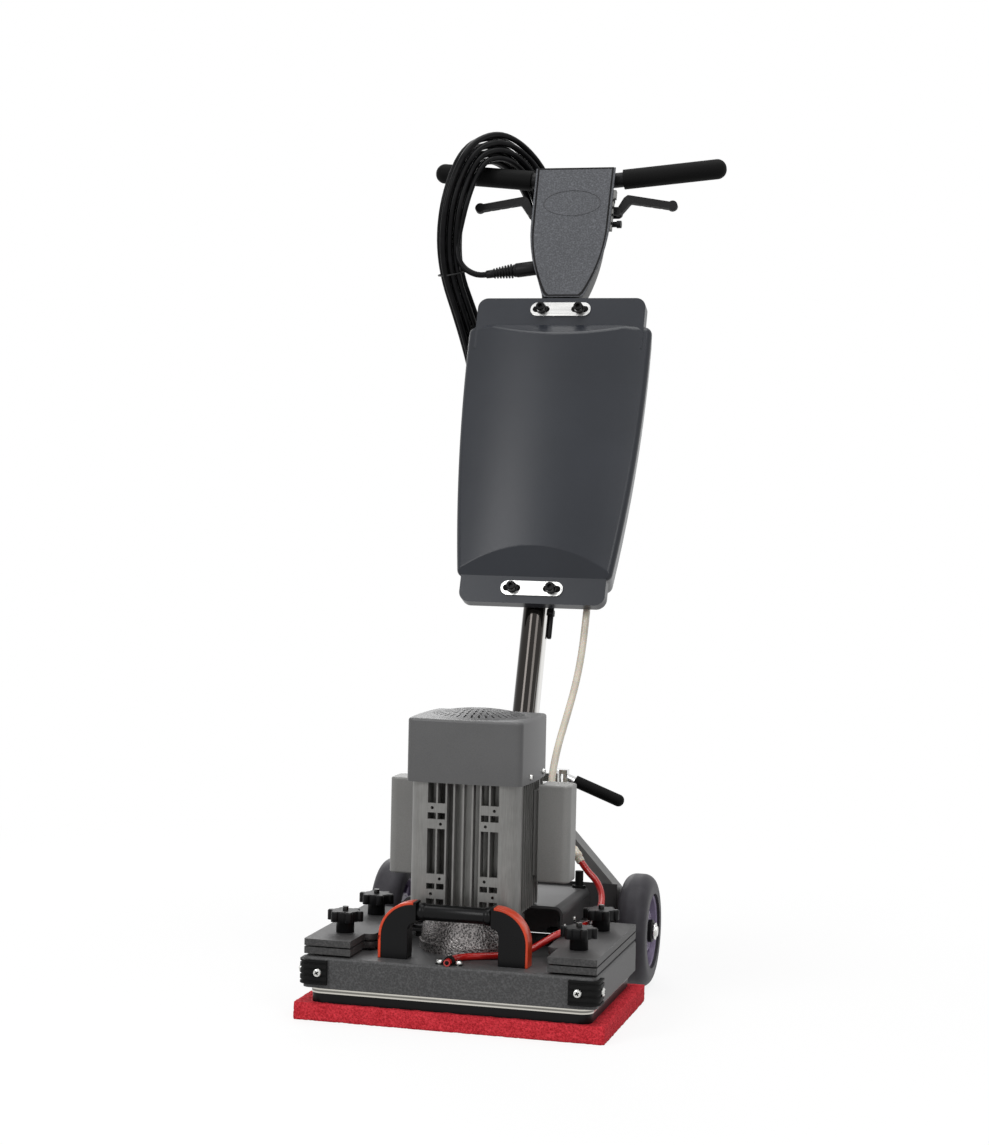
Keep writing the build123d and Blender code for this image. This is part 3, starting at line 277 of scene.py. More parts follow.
def hammeredPaint(name, color, grain, depth, roughness, contrast):
    surface = Surface(name, color, roughness, Metallic=0.15, Specular_IOR_Level=0.22)
    cloud = surface.noise(7.0, 3.0)
    dimples = surface.cells(grain, "SMOOTH_F1")
    flakes = surface.noise(grain * 1.7, 2.0, 0.7)
    tone = (dimples * 0.55 + flakes * 0.6).between(0.35, 0.95)
    dark, pale = tinted(color, 1 - contrast), tinted(color, 1 + contrast * 1.6)
    surface.feed("Base Color", surface.mixed((tone * 0.8 + cloud * 0.2), dark, pale))
    surface.feed("Roughness", flakes * 0.2 + dimples * 0.15 + (roughness - 0.15))
    return surface.bump(dimples * 0.8 + flakes * 0.3, depth, 0.7)


# Silver with the dimples standing apart, as on the casting under the motor; the pale speckles in its base colour are
# painted glints
def hammerSilver(name, color, grain):
    surface = Surface(name, color, 0.3, Metallic=0.6, Coat_Weight=0.25, Coat_Roughness=0.12)
    warped = surface.node("ShaderNodeVectorMath", dict(operation="ADD"), {
        0: surface.place, 1: surface.node("ShaderNodeVectorMath", dict(operation="SCALE"), {
            0: surface.node("ShaderNodeTexNoise", None, {"Vector": surface.place, "Scale": 120.0}).outputs["Color"],
            "Scale": 0.004}).outputs[0]}).outputs[0]
    pools = surface.cells(grain, "F1", warped)
    paintedGlintNoise = surface.noise(grain * 3.0, 2.0, 0.7)
    # darker in each dimple's middle and pale towards its rim, with pale speckles on top that are painted glints
    surface.feed("Base Color", surface.mixed((pools * 0.9 + paintedGlintNoise * 0.35).between(0.3, 0.8), tinted(color, 0.20),
                                             tinted(color, 2.7)))
    surface.feed("Roughness", paintedGlintNoise * 0.25 + 0.14)
    return surface.bump(pools, 0.0007, 0.9)


def smoothPaint(name, color, roughness=0.42):
    surface = Surface(name, color, roughness, Metallic=0.1, Specular_IOR_Level=0.22)
    cloud = surface.noise(9.0, 3.0)
    peel = surface.noise(700.0, 2.0, 0.6)
    surface.feed("Base Color", surface.mixed((cloud * 0.6 + peel * 0.4).between(0.35, 0.65), tinted(color, 0.92),
                                             tinted(color, 1.09)))
    surface.feed("Roughness", cloud * 0.12 + peel * 0.06 + (roughness - 0.09))
    return surface.bump(peel, 0.00007, 0.6)


def castMetal(name, color, roughness):
    surface = Surface(name, color, roughness, Metallic=0.5)
    drawn = surface.noise(900.0, 2.0, 0.6, surface.stretched(1, 1, 0.04))
    cloud = surface.noise(25.0, 3.0)
    grime = surface.noise(60.0, 4.0, 0.6)
    surface.feed("Base Color", surface.mixed((drawn * 0.45 + cloud * 0.35 + grime * 0.2).between(0.35, 0.65),
                                             tinted(color, 0.84), tinted(color, 1.14)))
    surface.feed("Roughness", drawn * 0.2 + grime * 0.1 + (roughness - 0.15))
    return surface.bump(drawn, 0.0001, 0.5)


def blackPlastic(name, color, roughness, grain=1400.0, depth=0.00006, shine=0.14):
    surface = Surface(name, color, roughness, Specular_IOR_Level=shine)
    speck = surface.noise(grain, 2.0, 0.6)
    cloud = surface.noise(14.0, 3.0)
    surface.feed("Base Color", surface.mixed(cloud.between(0.3, 0.7), tinted(color, 0.8), tinted(color, 1.35)))
    surface.feed("Roughness", speck * 0.16 + cloud * 0.1 + (roughness - 0.13))
    return surface.bump(speck, depth, 0.6)


def rubber(name, color, roughness=0.6, shine=0.12):
    surface = Surface(name, color, roughness, Specular_IOR_Level=shine)
    dust = surface.noise(38.0, 4.0, 0.6)
    pores = surface.noise(1600.0, 2.0)
    surface.feed("Base Color", surface.mixed(dust.between(0.35, 0.75), tinted(color, 0.88), tinted(color, 1.25)))
    surface.feed("Roughness", dust * 0.2 + (roughness - 0.1))
    return surface.bump(pores * 0.6 + dust * 0.4, 0.0001, 0.5)


def polishedSteel(name, color, roughness, brushed=0.0, along=(1, 1, 1)):
    surface = Surface(name, color, roughness, Metallic=1.0)
    streaks = surface.noise(400.0, 3.0, 0.6, surface.stretched(*along))
    smear = surface.noise(22.0, 3.0)
    surface.feed("Base Color", surface.mixed(streaks.between(0.3, 0.7), tinted(color, 0.88), color))
    surface.feed("Roughness", streaks * (0.06 + brushed) + smear * 0.08 + roughness * 0.5)
    return surface.bump(streaks, 0.00003, 0.3 + brushed)


# The steel edge round the driver: a channel, so its middle is in shade
def channelSteel(name, color, lowEdge, highEdge):
    surface = Surface(name, color, 0.28, Metallic=1.0)
    streaks = surface.noise(400.0, 3.0, 0.6, surface.stretched(0.03, 0.03, 1))
    height = Signal(surface, surface.node("ShaderNodeSeparateXYZ", None, {0: surface.place}).outputs[2])
    depth = highEdge - lowEdge
    above = height.between(lowEdge + depth * 0.26, lowEdge + depth * 0.34)
    below = height.between(lowEdge + depth * 0.66, lowEdge + depth * 0.74, 1.0, 0.0)
    shade = above * below
    surface.feed("Base Color", surface.mixed(shade * 0.85 + streaks * 0.12, color, tinted(color, 0.22)))
    surface.feed("Roughness", streaks * 0.14 + 0.18)
    return surface.bump(streaks, 0.00003, 0.4)


# Chrome on a round tube: painted reflections of the room, dark and bright streaks in its base colour that run along
# its length
def chromeTube(name):
    surface = Surface(name, (0.5, 0.5, 0.5), 0.09, Metallic=1.0)
    along = surface.node("ShaderNodeMapping", None, {
        "Vector": surface.place, "Rotation": (atan2(tubeAxis.y, tubeAxis.z), 0, 0)}).outputs[0]
    flat = surface.node("ShaderNodeVectorMath", dict(operation="MULTIPLY"), {0: along, 1: (1, 1, 0.02)}).outputs[0]
    paintedReflections = surface.noise(62.0, 1.0, 0.4, flat)
    fine = surface.noise(300.0, 2.0, 0.5, flat)
    # streaks from near black to near white along the tube: painted reflection
    surface.feed("Base Color", surface.mixed((paintedReflections * 0.9 + fine * 0.1).between(0.46, 0.60), (0.035, 0.032, 0.030),
                                             (0.78, 0.77, 0.75)))
    surface.feed("Roughness", fine * 0.08 + 0.05)
    return surface.bump(fine, 0.00002, 0.3)


def tankPlastic(name, color):
    surface = Surface(name, color, 0.36, Specular_IOR_Level=0.30)
    cloud = surface.noise(5.0, 4.0, 0.55)
    orange = surface.noise(260.0, 2.0, 0.5)
    speck = surface.noise(1500.0, 2.0)
    surface.feed("Base Color", surface.mixed((cloud * 0.8 + speck * 0.2).between(0.35, 0.65), tinted(color, 0.92),
                                             tinted(color, 1.09)))
    surface.feed("Roughness", cloud * 0.12 + orange * 0.08 + 0.22)
    return surface.bump(orange * 0.7 + speck * 0.3, 0.00012, 0.45)


def padFibre(name):
    surface = Surface(name, (0.50, 0.025, 0.035), 0.8, Specular_IOR_Level=0.1)
    strands = surface.noise(520.0, 4.0, 0.7, surface.stretched(0.55, 0.8, 1.3), 2.4)
    clumps = surface.noise(60.0, 3.0, 0.6)
    holes = surface.cells(380.0)
    tone = (strands * 0.75 + clumps * 0.2 + holes * 0.25).between(0.38, 0.82)
    surface.feed("Base Color", surface.mixed(tone, (0.38, 0.006, 0.013), (1.0, 0.075, 0.100)))
    surface.feed("Roughness", strands * 0.3 + 0.6)
    return surface.bump(strands * 0.8 + holes * 0.4, 0.0013, 1.0)


def hosePlastic(name, color, roughness, glow):
    surface = Surface(name, color, roughness, Subsurface_Weight=glow, Subsurface_Scale=0.004, Coat_Weight=0.3,
                      Coat_Roughness=0.15)
    cloud = surface.noise(30.0, 3.0)
    surface.feed("Base Color", surface.mixed(cloud.between(0.3, 0.7), tinted(color, 0.88), tinted(color, 1.08)))
    surface.feed("Roughness", cloud * 0.12 + (roughness - 0.06))
    return surface.bump(cloud, 0.0001, 0.3)


def cordSheath(name):
    surface = Surface(name, (0.005, 0.005, 0.0055), 0.28, Specular_IOR_Level=0.09)
    scuff = surface.noise(45.0, 4.0, 0.6)
    fine = surface.noise(900.0, 2.0)
    surface.feed("Base Color", surface.mixed(scuff.between(0.4, 0.8), (0.003, 0.003, 0.0034), (0.008, 0.008, 0.009)))
    surface.feed("Roughness", scuff * 0.2 + 0.2)
    return surface.bump(fine, 0.00004, 0.5)


paint = {
    "deckGrey": hammeredPaint("deckGrey", (0.078, 0.078, 0.079), 420, 0.00035, 0.48, 0.42),
    "plateGrey": hammeredPaint("plateGrey", (0.064, 0.063, 0.063), 380, 0.0004, 0.5, 0.42),
    "controlGrey": hammeredPaint("controlGrey", (0.080, 0.083, 0.091), 440, 0.00035, 0.44, 0.44),
    "baseSilver": hammerSilver("baseSilver", (0.130, 0.122, 0.120), 360),
    "coverGrey": smoothPaint("coverGrey", (0.112, 0.112, 0.113)),
    "boxGrey": smoothPaint("boxGrey", (0.25, 0.248, 0.240), 0.44),
    "yokeGrey": smoothPaint("yokeGrey", (0.16, 0.158, 0.156), 0.45),
    "frameGrey": castMetal("frameGrey", (0.20, 0.198, 0.19), 0.42),
    "darkPaint": smoothPaint("darkPaint", (0.062, 0.061, 0.062), 0.45),
    "bracketGrey": smoothPaint("bracketGrey", (0.17, 0.17, 0.165), 0.4),
    "darkBracket": smoothPaint("darkBracket", (0.024, 0.024, 0.025), 0.42),
    "black": blackPlastic("blackPlastic", (0.0040, 0.0040, 0.0044), 0.42),
    "glossBlack": blackPlastic("glossBlack", (0.0035, 0.0035, 0.0038), 0.3, 1400.0, 0.00003, 0.15),
    "gripBlack": blackPlastic("gripBlack", (0.0030, 0.0030, 0.0030), 0.62, 700.0, 0.00015, 0.08),
    "rubberBlack": rubber("rubberBlack", (0.0040, 0.0040, 0.0040)),
    "tyre": rubber("tyreRubber", (0.038, 0.036, 0.042), 0.5, 0.2),
    "hub": smoothPaint("hubPurple", (0.062, 0.045, 0.085), 0.35),
    "hubPale": smoothPaint("hubPale", (0.24, 0.20, 0.30), 0.32),
    "chrome": polishedSteel("chrome", (0.70, 0.70, 0.70), 0.08),
    "tube": chromeTube("chromeTube"),
    "stainless": polishedSteel("stainless", (0.70, 0.70, 0.69), 0.25, 0.1, (0.03, 1, 1)),
    "edgeStrip": channelSteel("edgeStrip", (0.60, 0.58, 0.53), low("driver_edge_strip").z,
                              high("driver_edge_strip").z),
    "zinc": polishedSteel("zincSteel", (0.62, 0.62, 0.60), 0.3),
    "darkSteel": polishedSteel("darkSteel", (0.05, 0.05, 0.05), 0.35),
    # near-black painted shade, put in screw crosses, strap slots, bracket notches, the hose bore and behind the motor
    # frame's windows
    "paintedShade": blackPlastic("paintedShade", (0.004, 0.004, 0.004), 0.7, 900.0, 0.00005, 0.1),
    "tank": tankPlastic("tankPlastic", (0.019, 0.0215, 0.0275)),
    "pad": padFibre("padFibre"),
    "orange": blackPlastic("trimOrange", (0.56, 0.045, 0.009), 0.3, 900.0, 0.00003, 0.45),
    "redHose": hosePlastic("redHose", (0.50, 0.010, 0.008), 0.26, 0.1),
    "whiteHose": hosePlastic("whiteHose", (0.66, 0.60, 0.50), 0.36, 0.2),
    "cord": cordSheath("cordSheath"),
}


# Mesh helpers

def addPiece(name, data, body, looks, standsFor=(), slot=None, smooth=True):
    piece = bpy.data.objects.new(name, data)
    bpy.context.collection.objects.link(piece)
    for look in looks:
        data.materials.append(paint[look].material)
    if isinstance(data, bpy.types.Mesh):
        data.polygons.foreach_set("use_smooth", [smooth] * len(data.polygons))
    if body:
        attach(piece, body)
    if standsFor:
        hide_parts(*standsFor)
        slot = slot or materialSlot[standsFor[0]]
    return piece


# A piece in the making: separate closed shapes are joined into one mesh, each with its own finish
class Form:
    def __init__(self, name):
        self.mesh = bpy.data.meshes.new(name)
        self.whole = bmesh.new()

    def join(self, part, place=None, look=0):
        bmesh.ops.remove_doubles(part, verts=part.verts, dist=0.000001)
        bmesh.ops.recalc_face_normals(part, faces=part.faces)
        for face in part.faces:
            face.material_index = look
        if place:
            bmesh.ops.transform(part, matrix=place, verts=part.verts)
        step = bpy.data.meshes.new("step")
        part.to_mesh(step)
        part.free()
        self.whole.from_mesh(step)
        bpy.data.meshes.remove(step)

    def turned(self, profile, place, look=0, steps=32, ring=False):
        part = bmesh.new()
        spots = [part.verts.new((radius, 0, height)) for radius, height in profile]
        pairs = list(zip(spots, spots[1:])) + ([(spots[-1], spots[0])] if ring else [])
        lines = [part.edges.new(pair) for pair in pairs]
        bmesh.ops.spin(part, geom=spots + lines, cent=(0, 0, 0), axis=(0, 0, 1), angle=2 * pi, steps=steps,
                       use_merge=True)
        self.join(part, place, look)

    def block(self, start, end, edge=0.0, look=0, place=None):
        part = bmesh.new()
        bmesh.ops.create_cube(part, size=1)
        start, end = Vector(start), Vector(end)
        bmesh.ops.scale(part, vec=end - start, verts=part.verts)
        bmesh.ops.translate(part, vec=(start + end) / 2, verts=part.verts)
        if edge:
            bmesh.ops.bevel(part, geom=part.edges, offset=edge, affect="EDGES", segments=2, profile=0.5, material=-1)
        self.join(part, place, look)

    def cut(self, outline, thickness, place, edge=0.0, look=0):
        part = bmesh.new()
        face = part.faces.new([part.verts.new((x, y, 0)) for x, y in outline])
        grown = bmesh.ops.extrude_face_region(part, geom=[face])
        moved = [item for item in grown["geom"] if isinstance(item, bmesh.types.BMVert)]
        bmesh.ops.translate(part, vec=(0, 0, thickness), verts=moved)
        if edge:
            rims = [line for line in part.edges if len({round(spot.co.z, 6) for spot in line.verts}) == 1]
            bmesh.ops.bevel(part, geom=rims, offset=edge, affect="EDGES", segments=2, profile=0.5, material=-1)
        self.join(part, place, look)

    def done(self):
        self.whole.to_mesh(self.mesh)
        self.whole.free()
        return self.mesh


def facing(origin, direction):
    return Matrix.Translation(origin) @ Vector(direction).to_track_quat("Z", "Y").to_matrix().to_4x4()


def millimetres(*values):
    return Vector(values) / 1000


def roundEdge(node, width):
    edge = dict(merge=0.00002, segments=2, sharpFrom=32)
    piece = frame["nodes"][node]
    weld = piece.modifiers.new("weld", "WELD")
    weld.merge_threshold = edge["merge"]
    bevel = piece.modifiers.new("bevel", "BEVEL")
    bevel.width = width
    bevel.segments = edge["segments"]
    bevel.limit_method = "ANGLE"
    bevel.angle_limit = radians(edge["sharpFrom"])
    bevel.harden_normals = True


materialSlot = {part["node"]: part["material_slot"] for part in record["subparts"]}


# Cord and hoses

def addSpline(name, points, radius, resolution):
    curve = bpy.data.curves.new(name, "CURVE")
    curve.dimensions = "3D"
    curve.bevel_depth = radius
    curve.bevel_resolution = 4
    curve.resolution_u = resolution
    curve.use_fill_caps = True
    spline = curve.splines.new("NURBS")
    spline.points.add(len(points) - 1)
    for target, point in zip(spline.points, points):
        target.co = (*point, 1)
    spline.order_u = 3
    spline.use_endpoint_u = True
    return curve


def meshOfCurve(curve, radius):
    holder = bpy.data.objects.new("measure", curve.copy())
    holder.data.bevel_depth = radius
    bpy.context.collection.objects.link(holder)
    bpy.context.view_layer.update()
    mesh = bpy.data.meshes.new_from_object(holder.evaluated_get(bpy.context.evaluated_depsgraph_get()))
    bpy.data.objects.remove(holder)
    return mesh


# The points that a curve's line runs through, and its length
def followed(curve):
    points = [vertex.co.copy() for vertex in meshOfCurve(curve, 0).vertices]
    return points, sum((after - before).length for before, after in zip(points, points[1:]))


relief = dict(start=(-0.0431, -0.020, 0.8278), droop=8, nut=0.012, nutLength=0.046, length=0.091, ribs=7,
              thick=0.0082, tip=0.0058, rib=0.0035)


def reliefAxis():
    droop = radians(relief["droop"])
    return (handleFrame.to_3x3() @ Vector((-cos(droop), 0, -sin(droop)))).normalized()


def reliefEnd():
    return onHandle(*relief["start"]) + reliefAxis() * relief["length"]


def cordLoop():
    # the middle line of one turn of the hanging coil
    return [millimetres(*point) for point in (
        (-145, 602, 1288), (-170, 556, 1265), (-181, 545, 1200), (-188, 547, 1135), (-188, 556, 1075),
        (-172, 577, 1010), (-160, 596, 957), (-148, 600, 914), (-125, 603, 880), (-90, 609, 870),
        (-57, 617, 882), (-36, 628, 924), (-34, 641, 990), (-41, 655, 1048), (-53, 672, 1112),
        (-71, 686, 1185), (-92, 674, 1243), (-119, 644, 1279))]


def makeCord():
    cord = dict(radius=0.0048, turns=10, firstStep=2, lastSteps=11, spacing=0.0115, start=4, wander=0.0006,
                bulge=0.003, seed=5,
                fan=(1.20, 1.16, 1.08, 1.0, 0.92, 0.96, 1.0, 0.97, 0.93, 0.9, 0.93, 0.97, 1.02, 1.06, 1.1, 1.15, 1.18,
                     1.20),
                shift=(-0.005, -0.001, 0.011, 0.013, 0.010, 0.006, 0.003, 0.005, 0.011, 0.015, 0.011, 0.005, 0.0, 0.0,
                       0.0, 0.0, -0.002, -0.005))
    loop = cordLoop()
    count = len(loop)
    centre = sum(loop, Vector()) / count
    chooser = random.Random(cord["seed"])
    columns = [-1.5, -0.5, 0.5, 1.5]
    slots = [Vector((column, row)) * cord["spacing"] for row, order in ((-1, 1), (0, -1), (1, 1))
             for column in columns[::order]]
    gland = reliefEnd()
    points = [gland, gland + reliefAxis() * 0.010, millimetres(-158.2, 534, 1072.2), millimetres(-171.0, 535, 1080.6),
              millimetres(-180.2, 536, 1094), millimetres(-183.6, 538, 1110), millimetres(-183.0, 540, 1128)]
    for turn in range(cord["turns"] + 1):
        for step in range(count if turn < cord["turns"] else cord["lastSteps"]):
            index = (cord["start"] - step) % count
            if turn == 0 and step < cord["firstStep"]:
                continue
            here = loop[index]
            tangent = (loop[(index + 1) % count] - loop[index - 1]).normalized()
            outward = here - centre
            outward = (outward - tangent * outward.dot(tangent)).normalized()
            sideways = tangent.cross(outward)
            share = step / count
            share = share * share * (3 - 2 * share)
            first, second = slots[turn], slots[turn + 1]
            # a strand moves over to its next place in the bundle while it goes round
            offset = first.lerp(second, share)
            if first.x == second.x:
                offset.x += (1 if first.x > 0 else -1) * cord["bulge"] * 4 * share * (1 - share)
            offset = offset * cord["fan"][index] + Vector((cord["shift"][index], 0))
            offset += Vector((chooser.uniform(-1, 1), chooser.uniform(-1, 1))) * cord["wander"]
            points.append(here + outward * offset.x + sideways * offset.y)
    top = Vector((middle("cord_plug").x, middle("cord_plug").y, high("cord_plug").z))
    points += [top + millimetres(42, 18, 88), top + millimetres(20, 8, 56), top + millimetres(3, 1, 28),
               top - millimetres(0, 0, 4)]
    curve = addSpline("cord", points, cord["radius"], 6)
    length = followed(curve)[1]
    print("cord", len(points), "points, length", round(length, 3))
    piece = addPiece("mainsCord", curve, "handle", ["cord"], ("cord_lead", "cord_coil"))
    tie = makeCordTie(followed(curve)[0], loop, cord["radius"])
    plug = makePlug()
    makeRelief()


def makeCordTie(line, loop, strand):
    tie = dict(at=4, wide=0.0022, thick=0.0009, squareness=0.45, near=0.05, slack=0.0003, leadPoints=70)
    here = loop[tie["at"]]
    along = (loop[tie["at"] + 1] - loop[tie["at"] - 1]).normalized()
    outward = here - sum(loop, Vector()) / len(loop)
    outward = (outward - along * outward.dot(along)).normalized()
    place = Matrix.Translation(here) @ Matrix((outward, along.cross(outward), along)).transposed().to_4x4()
    # where the strands of the coil pass through the ring, after the lead
    back = place.inverted()
    local = [back @ point for point in line[tie["leadPoints"]:]]
    passes = [first.lerp(second, first.z / (first.z - second.z)) for first, second in zip(local, local[1:])
              if first.z * second.z < 0 and Vector(first[:2]).length < tie["near"]]
    print("strands in the tie", len(passes))
    form = Form("cordTie")
    half, thick = tie["wide"] / 2, tie["thick"]
    form.turned([(1, -half), (1 + thick, -half), (1 + thick, half), (1, half)], None, 0, 48, True)
    # the ring is pulled out to a rounded rectangle that lies on the strands
    for spot in form.whole.verts:
        radius = Vector(spot.co[:2]).length
        for axis in range(2):
            start, end = min(point[axis] for point in passes), max(point[axis] for point in passes)
            reach = (end - start) / 2 + strand + tie["slack"]
            part = spot.co[axis] / radius
            size = reach * abs(part) ** tie["squareness"] + abs(part) * (radius - 1)
            spot.co[axis] = (start + end) / 2 + (size if part > 0 else -size)
    bmesh.ops.transform(form.whole, matrix=place, verts=form.whole.verts)
    return addPiece("cordTie", form.done(), "handle", ["darkBracket"], slot=materialSlot["cord_plug"])


def makePlug():
    plug = dict(radius=0.018, waist=0.0135, neck=0.0065, pinRadius=0.0024, pinX=0.0095)
    base, top = low("cord_plug").z, high("cord_plug").z
    centre = middle("cord_plug")
    place = Matrix.Translation((centre.x, centre.y, 0))
    form = Form("plugBody")
    radius, waist, neck = plug["radius"], plug["waist"], plug["neck"]
    face = base + 0.019
    profile = [(0, face), (radius - 0.001, face), (radius, face + 0.001), (radius, face + 0.012),
               (radius - 0.0012, face + 0.0135), (waist + 0.001, face + 0.020), (waist, face + 0.024),
               (waist + 0.0008, face + 0.030), (neck + 0.004, face + 0.036), (neck + 0.001, face + 0.040)]
    for ring in range(4):
        level = face + 0.042 + ring * 0.0045
        profile += [(neck + 0.0016 - ring * 0.0003, level), (neck + 0.0016 - ring * 0.0003, level + 0.0022),
                    (neck - 0.0002, level + 0.0026), (neck - 0.0002, level + 0.0042)]
    profile += [(neck - 0.0004, top), (0, top)]
    form.turned(profile, place, 0, 36)
    for side in (-1, 1):
        pin = Matrix.Translation((centre.x + side * plug["pinX"], centre.y, 0))
        thick = plug["pinRadius"]
        form.turned([(0, base), (thick * 0.6, base), (thick, base + 0.0012), (thick, face + 0.001),
                     (0, face + 0.001)], pin, 1, 20)
    return addPiece("mainsPlug", form.done(), "handle", ["glossBlack", "zinc"], ["cord_plug"])


def makeRelief():
    # nut in the housing, then a ribbed sleeve that tapers to the cord
    form = Form("cordRelief")
    nut, start, end = relief["nut"], relief["nutLength"], relief["length"]
    flat = [(nut * cos(pi * side / 4 + pi / 8), nut * sin(pi * side / 4 + pi / 8)) for side in range(8)]
    place = facing(onHandle(*relief["start"]), reliefAxis())
    form.cut(flat, start - 0.004, place, 0.0012)
    profile = [(0, start - 0.006), (nut * 0.86, start - 0.006), (nut * 0.86, start - 0.001), (nut * 0.8, start)]
    pitch = (end - start - 0.012) / relief["ribs"]
    for rib in range(relief["ribs"]):
        share = rib / relief["ribs"]
        core = relief["thick"] + (relief["tip"] - relief["thick"]) * share
        crest = core + relief["rib"] * (1 - 0.45 * share)
        level = start + pitch * rib
        profile += [(core, level + 0.0003), (core, level + pitch * 0.42), (crest, level + pitch * 0.50),
                    (crest, level + pitch * 0.82), (core, level + pitch * 0.90)]
    profile += [(relief["tip"] + 0.0009, end - 0.011), (relief["tip"] + 0.0007, end - 0.001), (relief["tip"], end),
                (0, end)]
    form.turned(profile, place, 0, 32)
    addPiece("cordRelief", form.done(), "handle", ["black"], ["cord_gland"])


def makeHoses():
    hose = dict(white=0.0055, red=0.0048)
    outlet = onHandle(0.080, -0.010, 0.269)
    joint = millimetres(108, 176, 199)
    white = [outlet, onHandle(0.080, -0.010, 0.213)] + [millimetres(*point) for point in (
        (77, 302, 446), (70, 272, 396), (60, 240, 340), (58, 212, 286), (76, 190, 241))] + [joint]
    curve = addSpline("whiteLine", white, hose["white"], 12)
    route, length = followed(curve)
    mesh = meshOfCurve(curve, hose["white"])
    mesh.materials.clear()
    piece = addPiece("tankHose", mesh, None, ["whiteHose"], ["solution_hose"])
    print("tank hose length", round(length, 3))
    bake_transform(piece)
    red = [joint] + [millimetres(*point) for point in (
        (122, 169.9, 180.6), (140, 170, 164), (150, 160, 143), (150, 132, 122), (146, 84, 118), (138, 34, 118.5),
        (121, -6, 118), (104, -28, 107), (84, -45, 95), (58, -68, 92.8), (24, -86, 92.8), (4, -102, 92.8),
        (-0.5, -119, 92.8), (-0.5, -147, 92.8))]
    line = addSpline("redLine", red, hose["red"], 12)
    redLength = followed(line)[1]
    print("feed hose length", round(redLength, 3))
    feed = addPiece("feedHose", line, "deck", ["redHose"], ["feed_hose"])
    # a thin near-black disc at the open end of the feed hose: painted shade inside its bore
    boreShade = Form("hoseBoreShade")
    end = facing(red[-1], (0, -1, 0))
    boreShade.turned([(0, -0.001), (0.0029, -0.001), (0.0029, 0.00015), (0, 0.00015)], end, 0, 24)
    boreShadePiece = addPiece("hoseBoreShade", boreShade.done(), "deck", ["paintedShade"], slot=materialSlot["feed_hose"])
    barb = Form("hoseJoiner")
    ahead = (red[1] - joint).normalized()
    barb.turned([(0, -0.012), (0.0064, -0.012), (0.0068, -0.0105), (0.0068, -0.003), (0.0075, -0.0025),
                 (0.0075, 0.0025), (0.0062, 0.003), (0.0062, 0.010), (0.0058, 0.0115), (0, 0.0115)],
                facing(joint, ahead), 0, 32)
    joiner = addPiece("hoseJoiner", barb.done(), "deck", ["whiteHose"], slot=materialSlot["solution_hose"])


makeCamera()
makeLight()
makeFloor()
makeCord()
makeHoses()
print("camera, lamps, floor, cord and hoses")


# Pad

def makePad():
    pad = dict(cell=0.0024, rough=0.0009, roughGrain=310, coarse=0.0006, coarseGrain=90, worn=0.004, pull=0.004,
               fill=1.0, seed=7)
    noise.seed_set(pad["seed"])
    start, end = low("scrub_pad"), high("scrub_pad")
    centre = (start + end) / 2
    shape = bmesh.new()
    bmesh.ops.create_cube(shape, size=1)
    bmesh.ops.scale(shape, vec=end - start, verts=shape.verts)
    bmesh.ops.translate(shape, vec=centre, verts=shape.verts)
    for axis in range(3):
        lines = [line for line in shape.edges
                 if abs((line.verts[0].co - line.verts[1].co)[axis]) > 0.9 * (end - start)[axis]]
        bmesh.ops.subdivide_edges(shape, edges=lines, cuts=round((end - start)[axis] / pad["cell"]) - 1)
    for spot in shape.verts:
        shift = noise.noise_vector(spot.co * pad["roughGrain"]) * pad["rough"]
        shift += noise.noise_vector(spot.co * pad["coarseGrain"]) * pad["coarse"]
        # edges, where two faces are near, are worn in a little
        edge = sorted(1 - min(1.0, min(spot.co[axis] - start[axis], end[axis] - spot.co[axis]) / pad["worn"])
                      for axis in range(3))[1]
        spot.co = spot.co + shift
        spot.co += (Vector((centre.x, centre.y, spot.co.z)) - spot.co) * pad["pull"] * edge
        spot.co.z = max(spot.co.z, 0.0)
    mesh = bpy.data.meshes.new("pad")
    shape.to_mesh(mesh)
    shape.free()
    piece = addPiece("scrubPad", mesh, "driver", ["pad"], ["scrub_pad"])


makePad()
print("pad")


# Screws and bolts on the deck, bumpers and fan cover

def addPanHead(form, place, radius, height, look=0):
    form.turned([(0, -0.001), (radius, -0.001), (radius, height * 0.35), (radius * 0.86, height * 0.75),
                 (radius * 0.55, height * 0.97), (radius * 0.2, height), (0, height)], place, look, 28)
    # the cross is a slightly proud block in the next look, the near-black paint: painted shade for the cross recess
    arm, deep = radius * 0.52, radius * 0.15
    for turn in (0, pi / 2):
        form.block((-arm, -deep, height * 0.5), (arm, deep, height * 1.012), 0.0, look + 1,
                   place @ Matrix.Rotation(turn + 0.5, 4, "Z"))


def addHexagon(form, place, radius, height, look=0):
    corners = [(radius * cos(pi * side / 3), radius * sin(pi * side / 3)) for side in range(6)]
    form.cut(corners, height, place, radius * 0.09, look)
    form.turned([(0, height * 0.9), (radius * 0.52, height * 0.9), (radius * 0.52, height * 1.25),
                 (radius * 0.42, height * 1.4), (0, height * 1.4)], place, look, 20)
    form.turned([(radius * 0.5, -0.0002), (radius * 1.28, -0.0002), (radius * 1.28, 0.0009), (radius * 0.5, 0.0009)],
                place, look, 28, True)


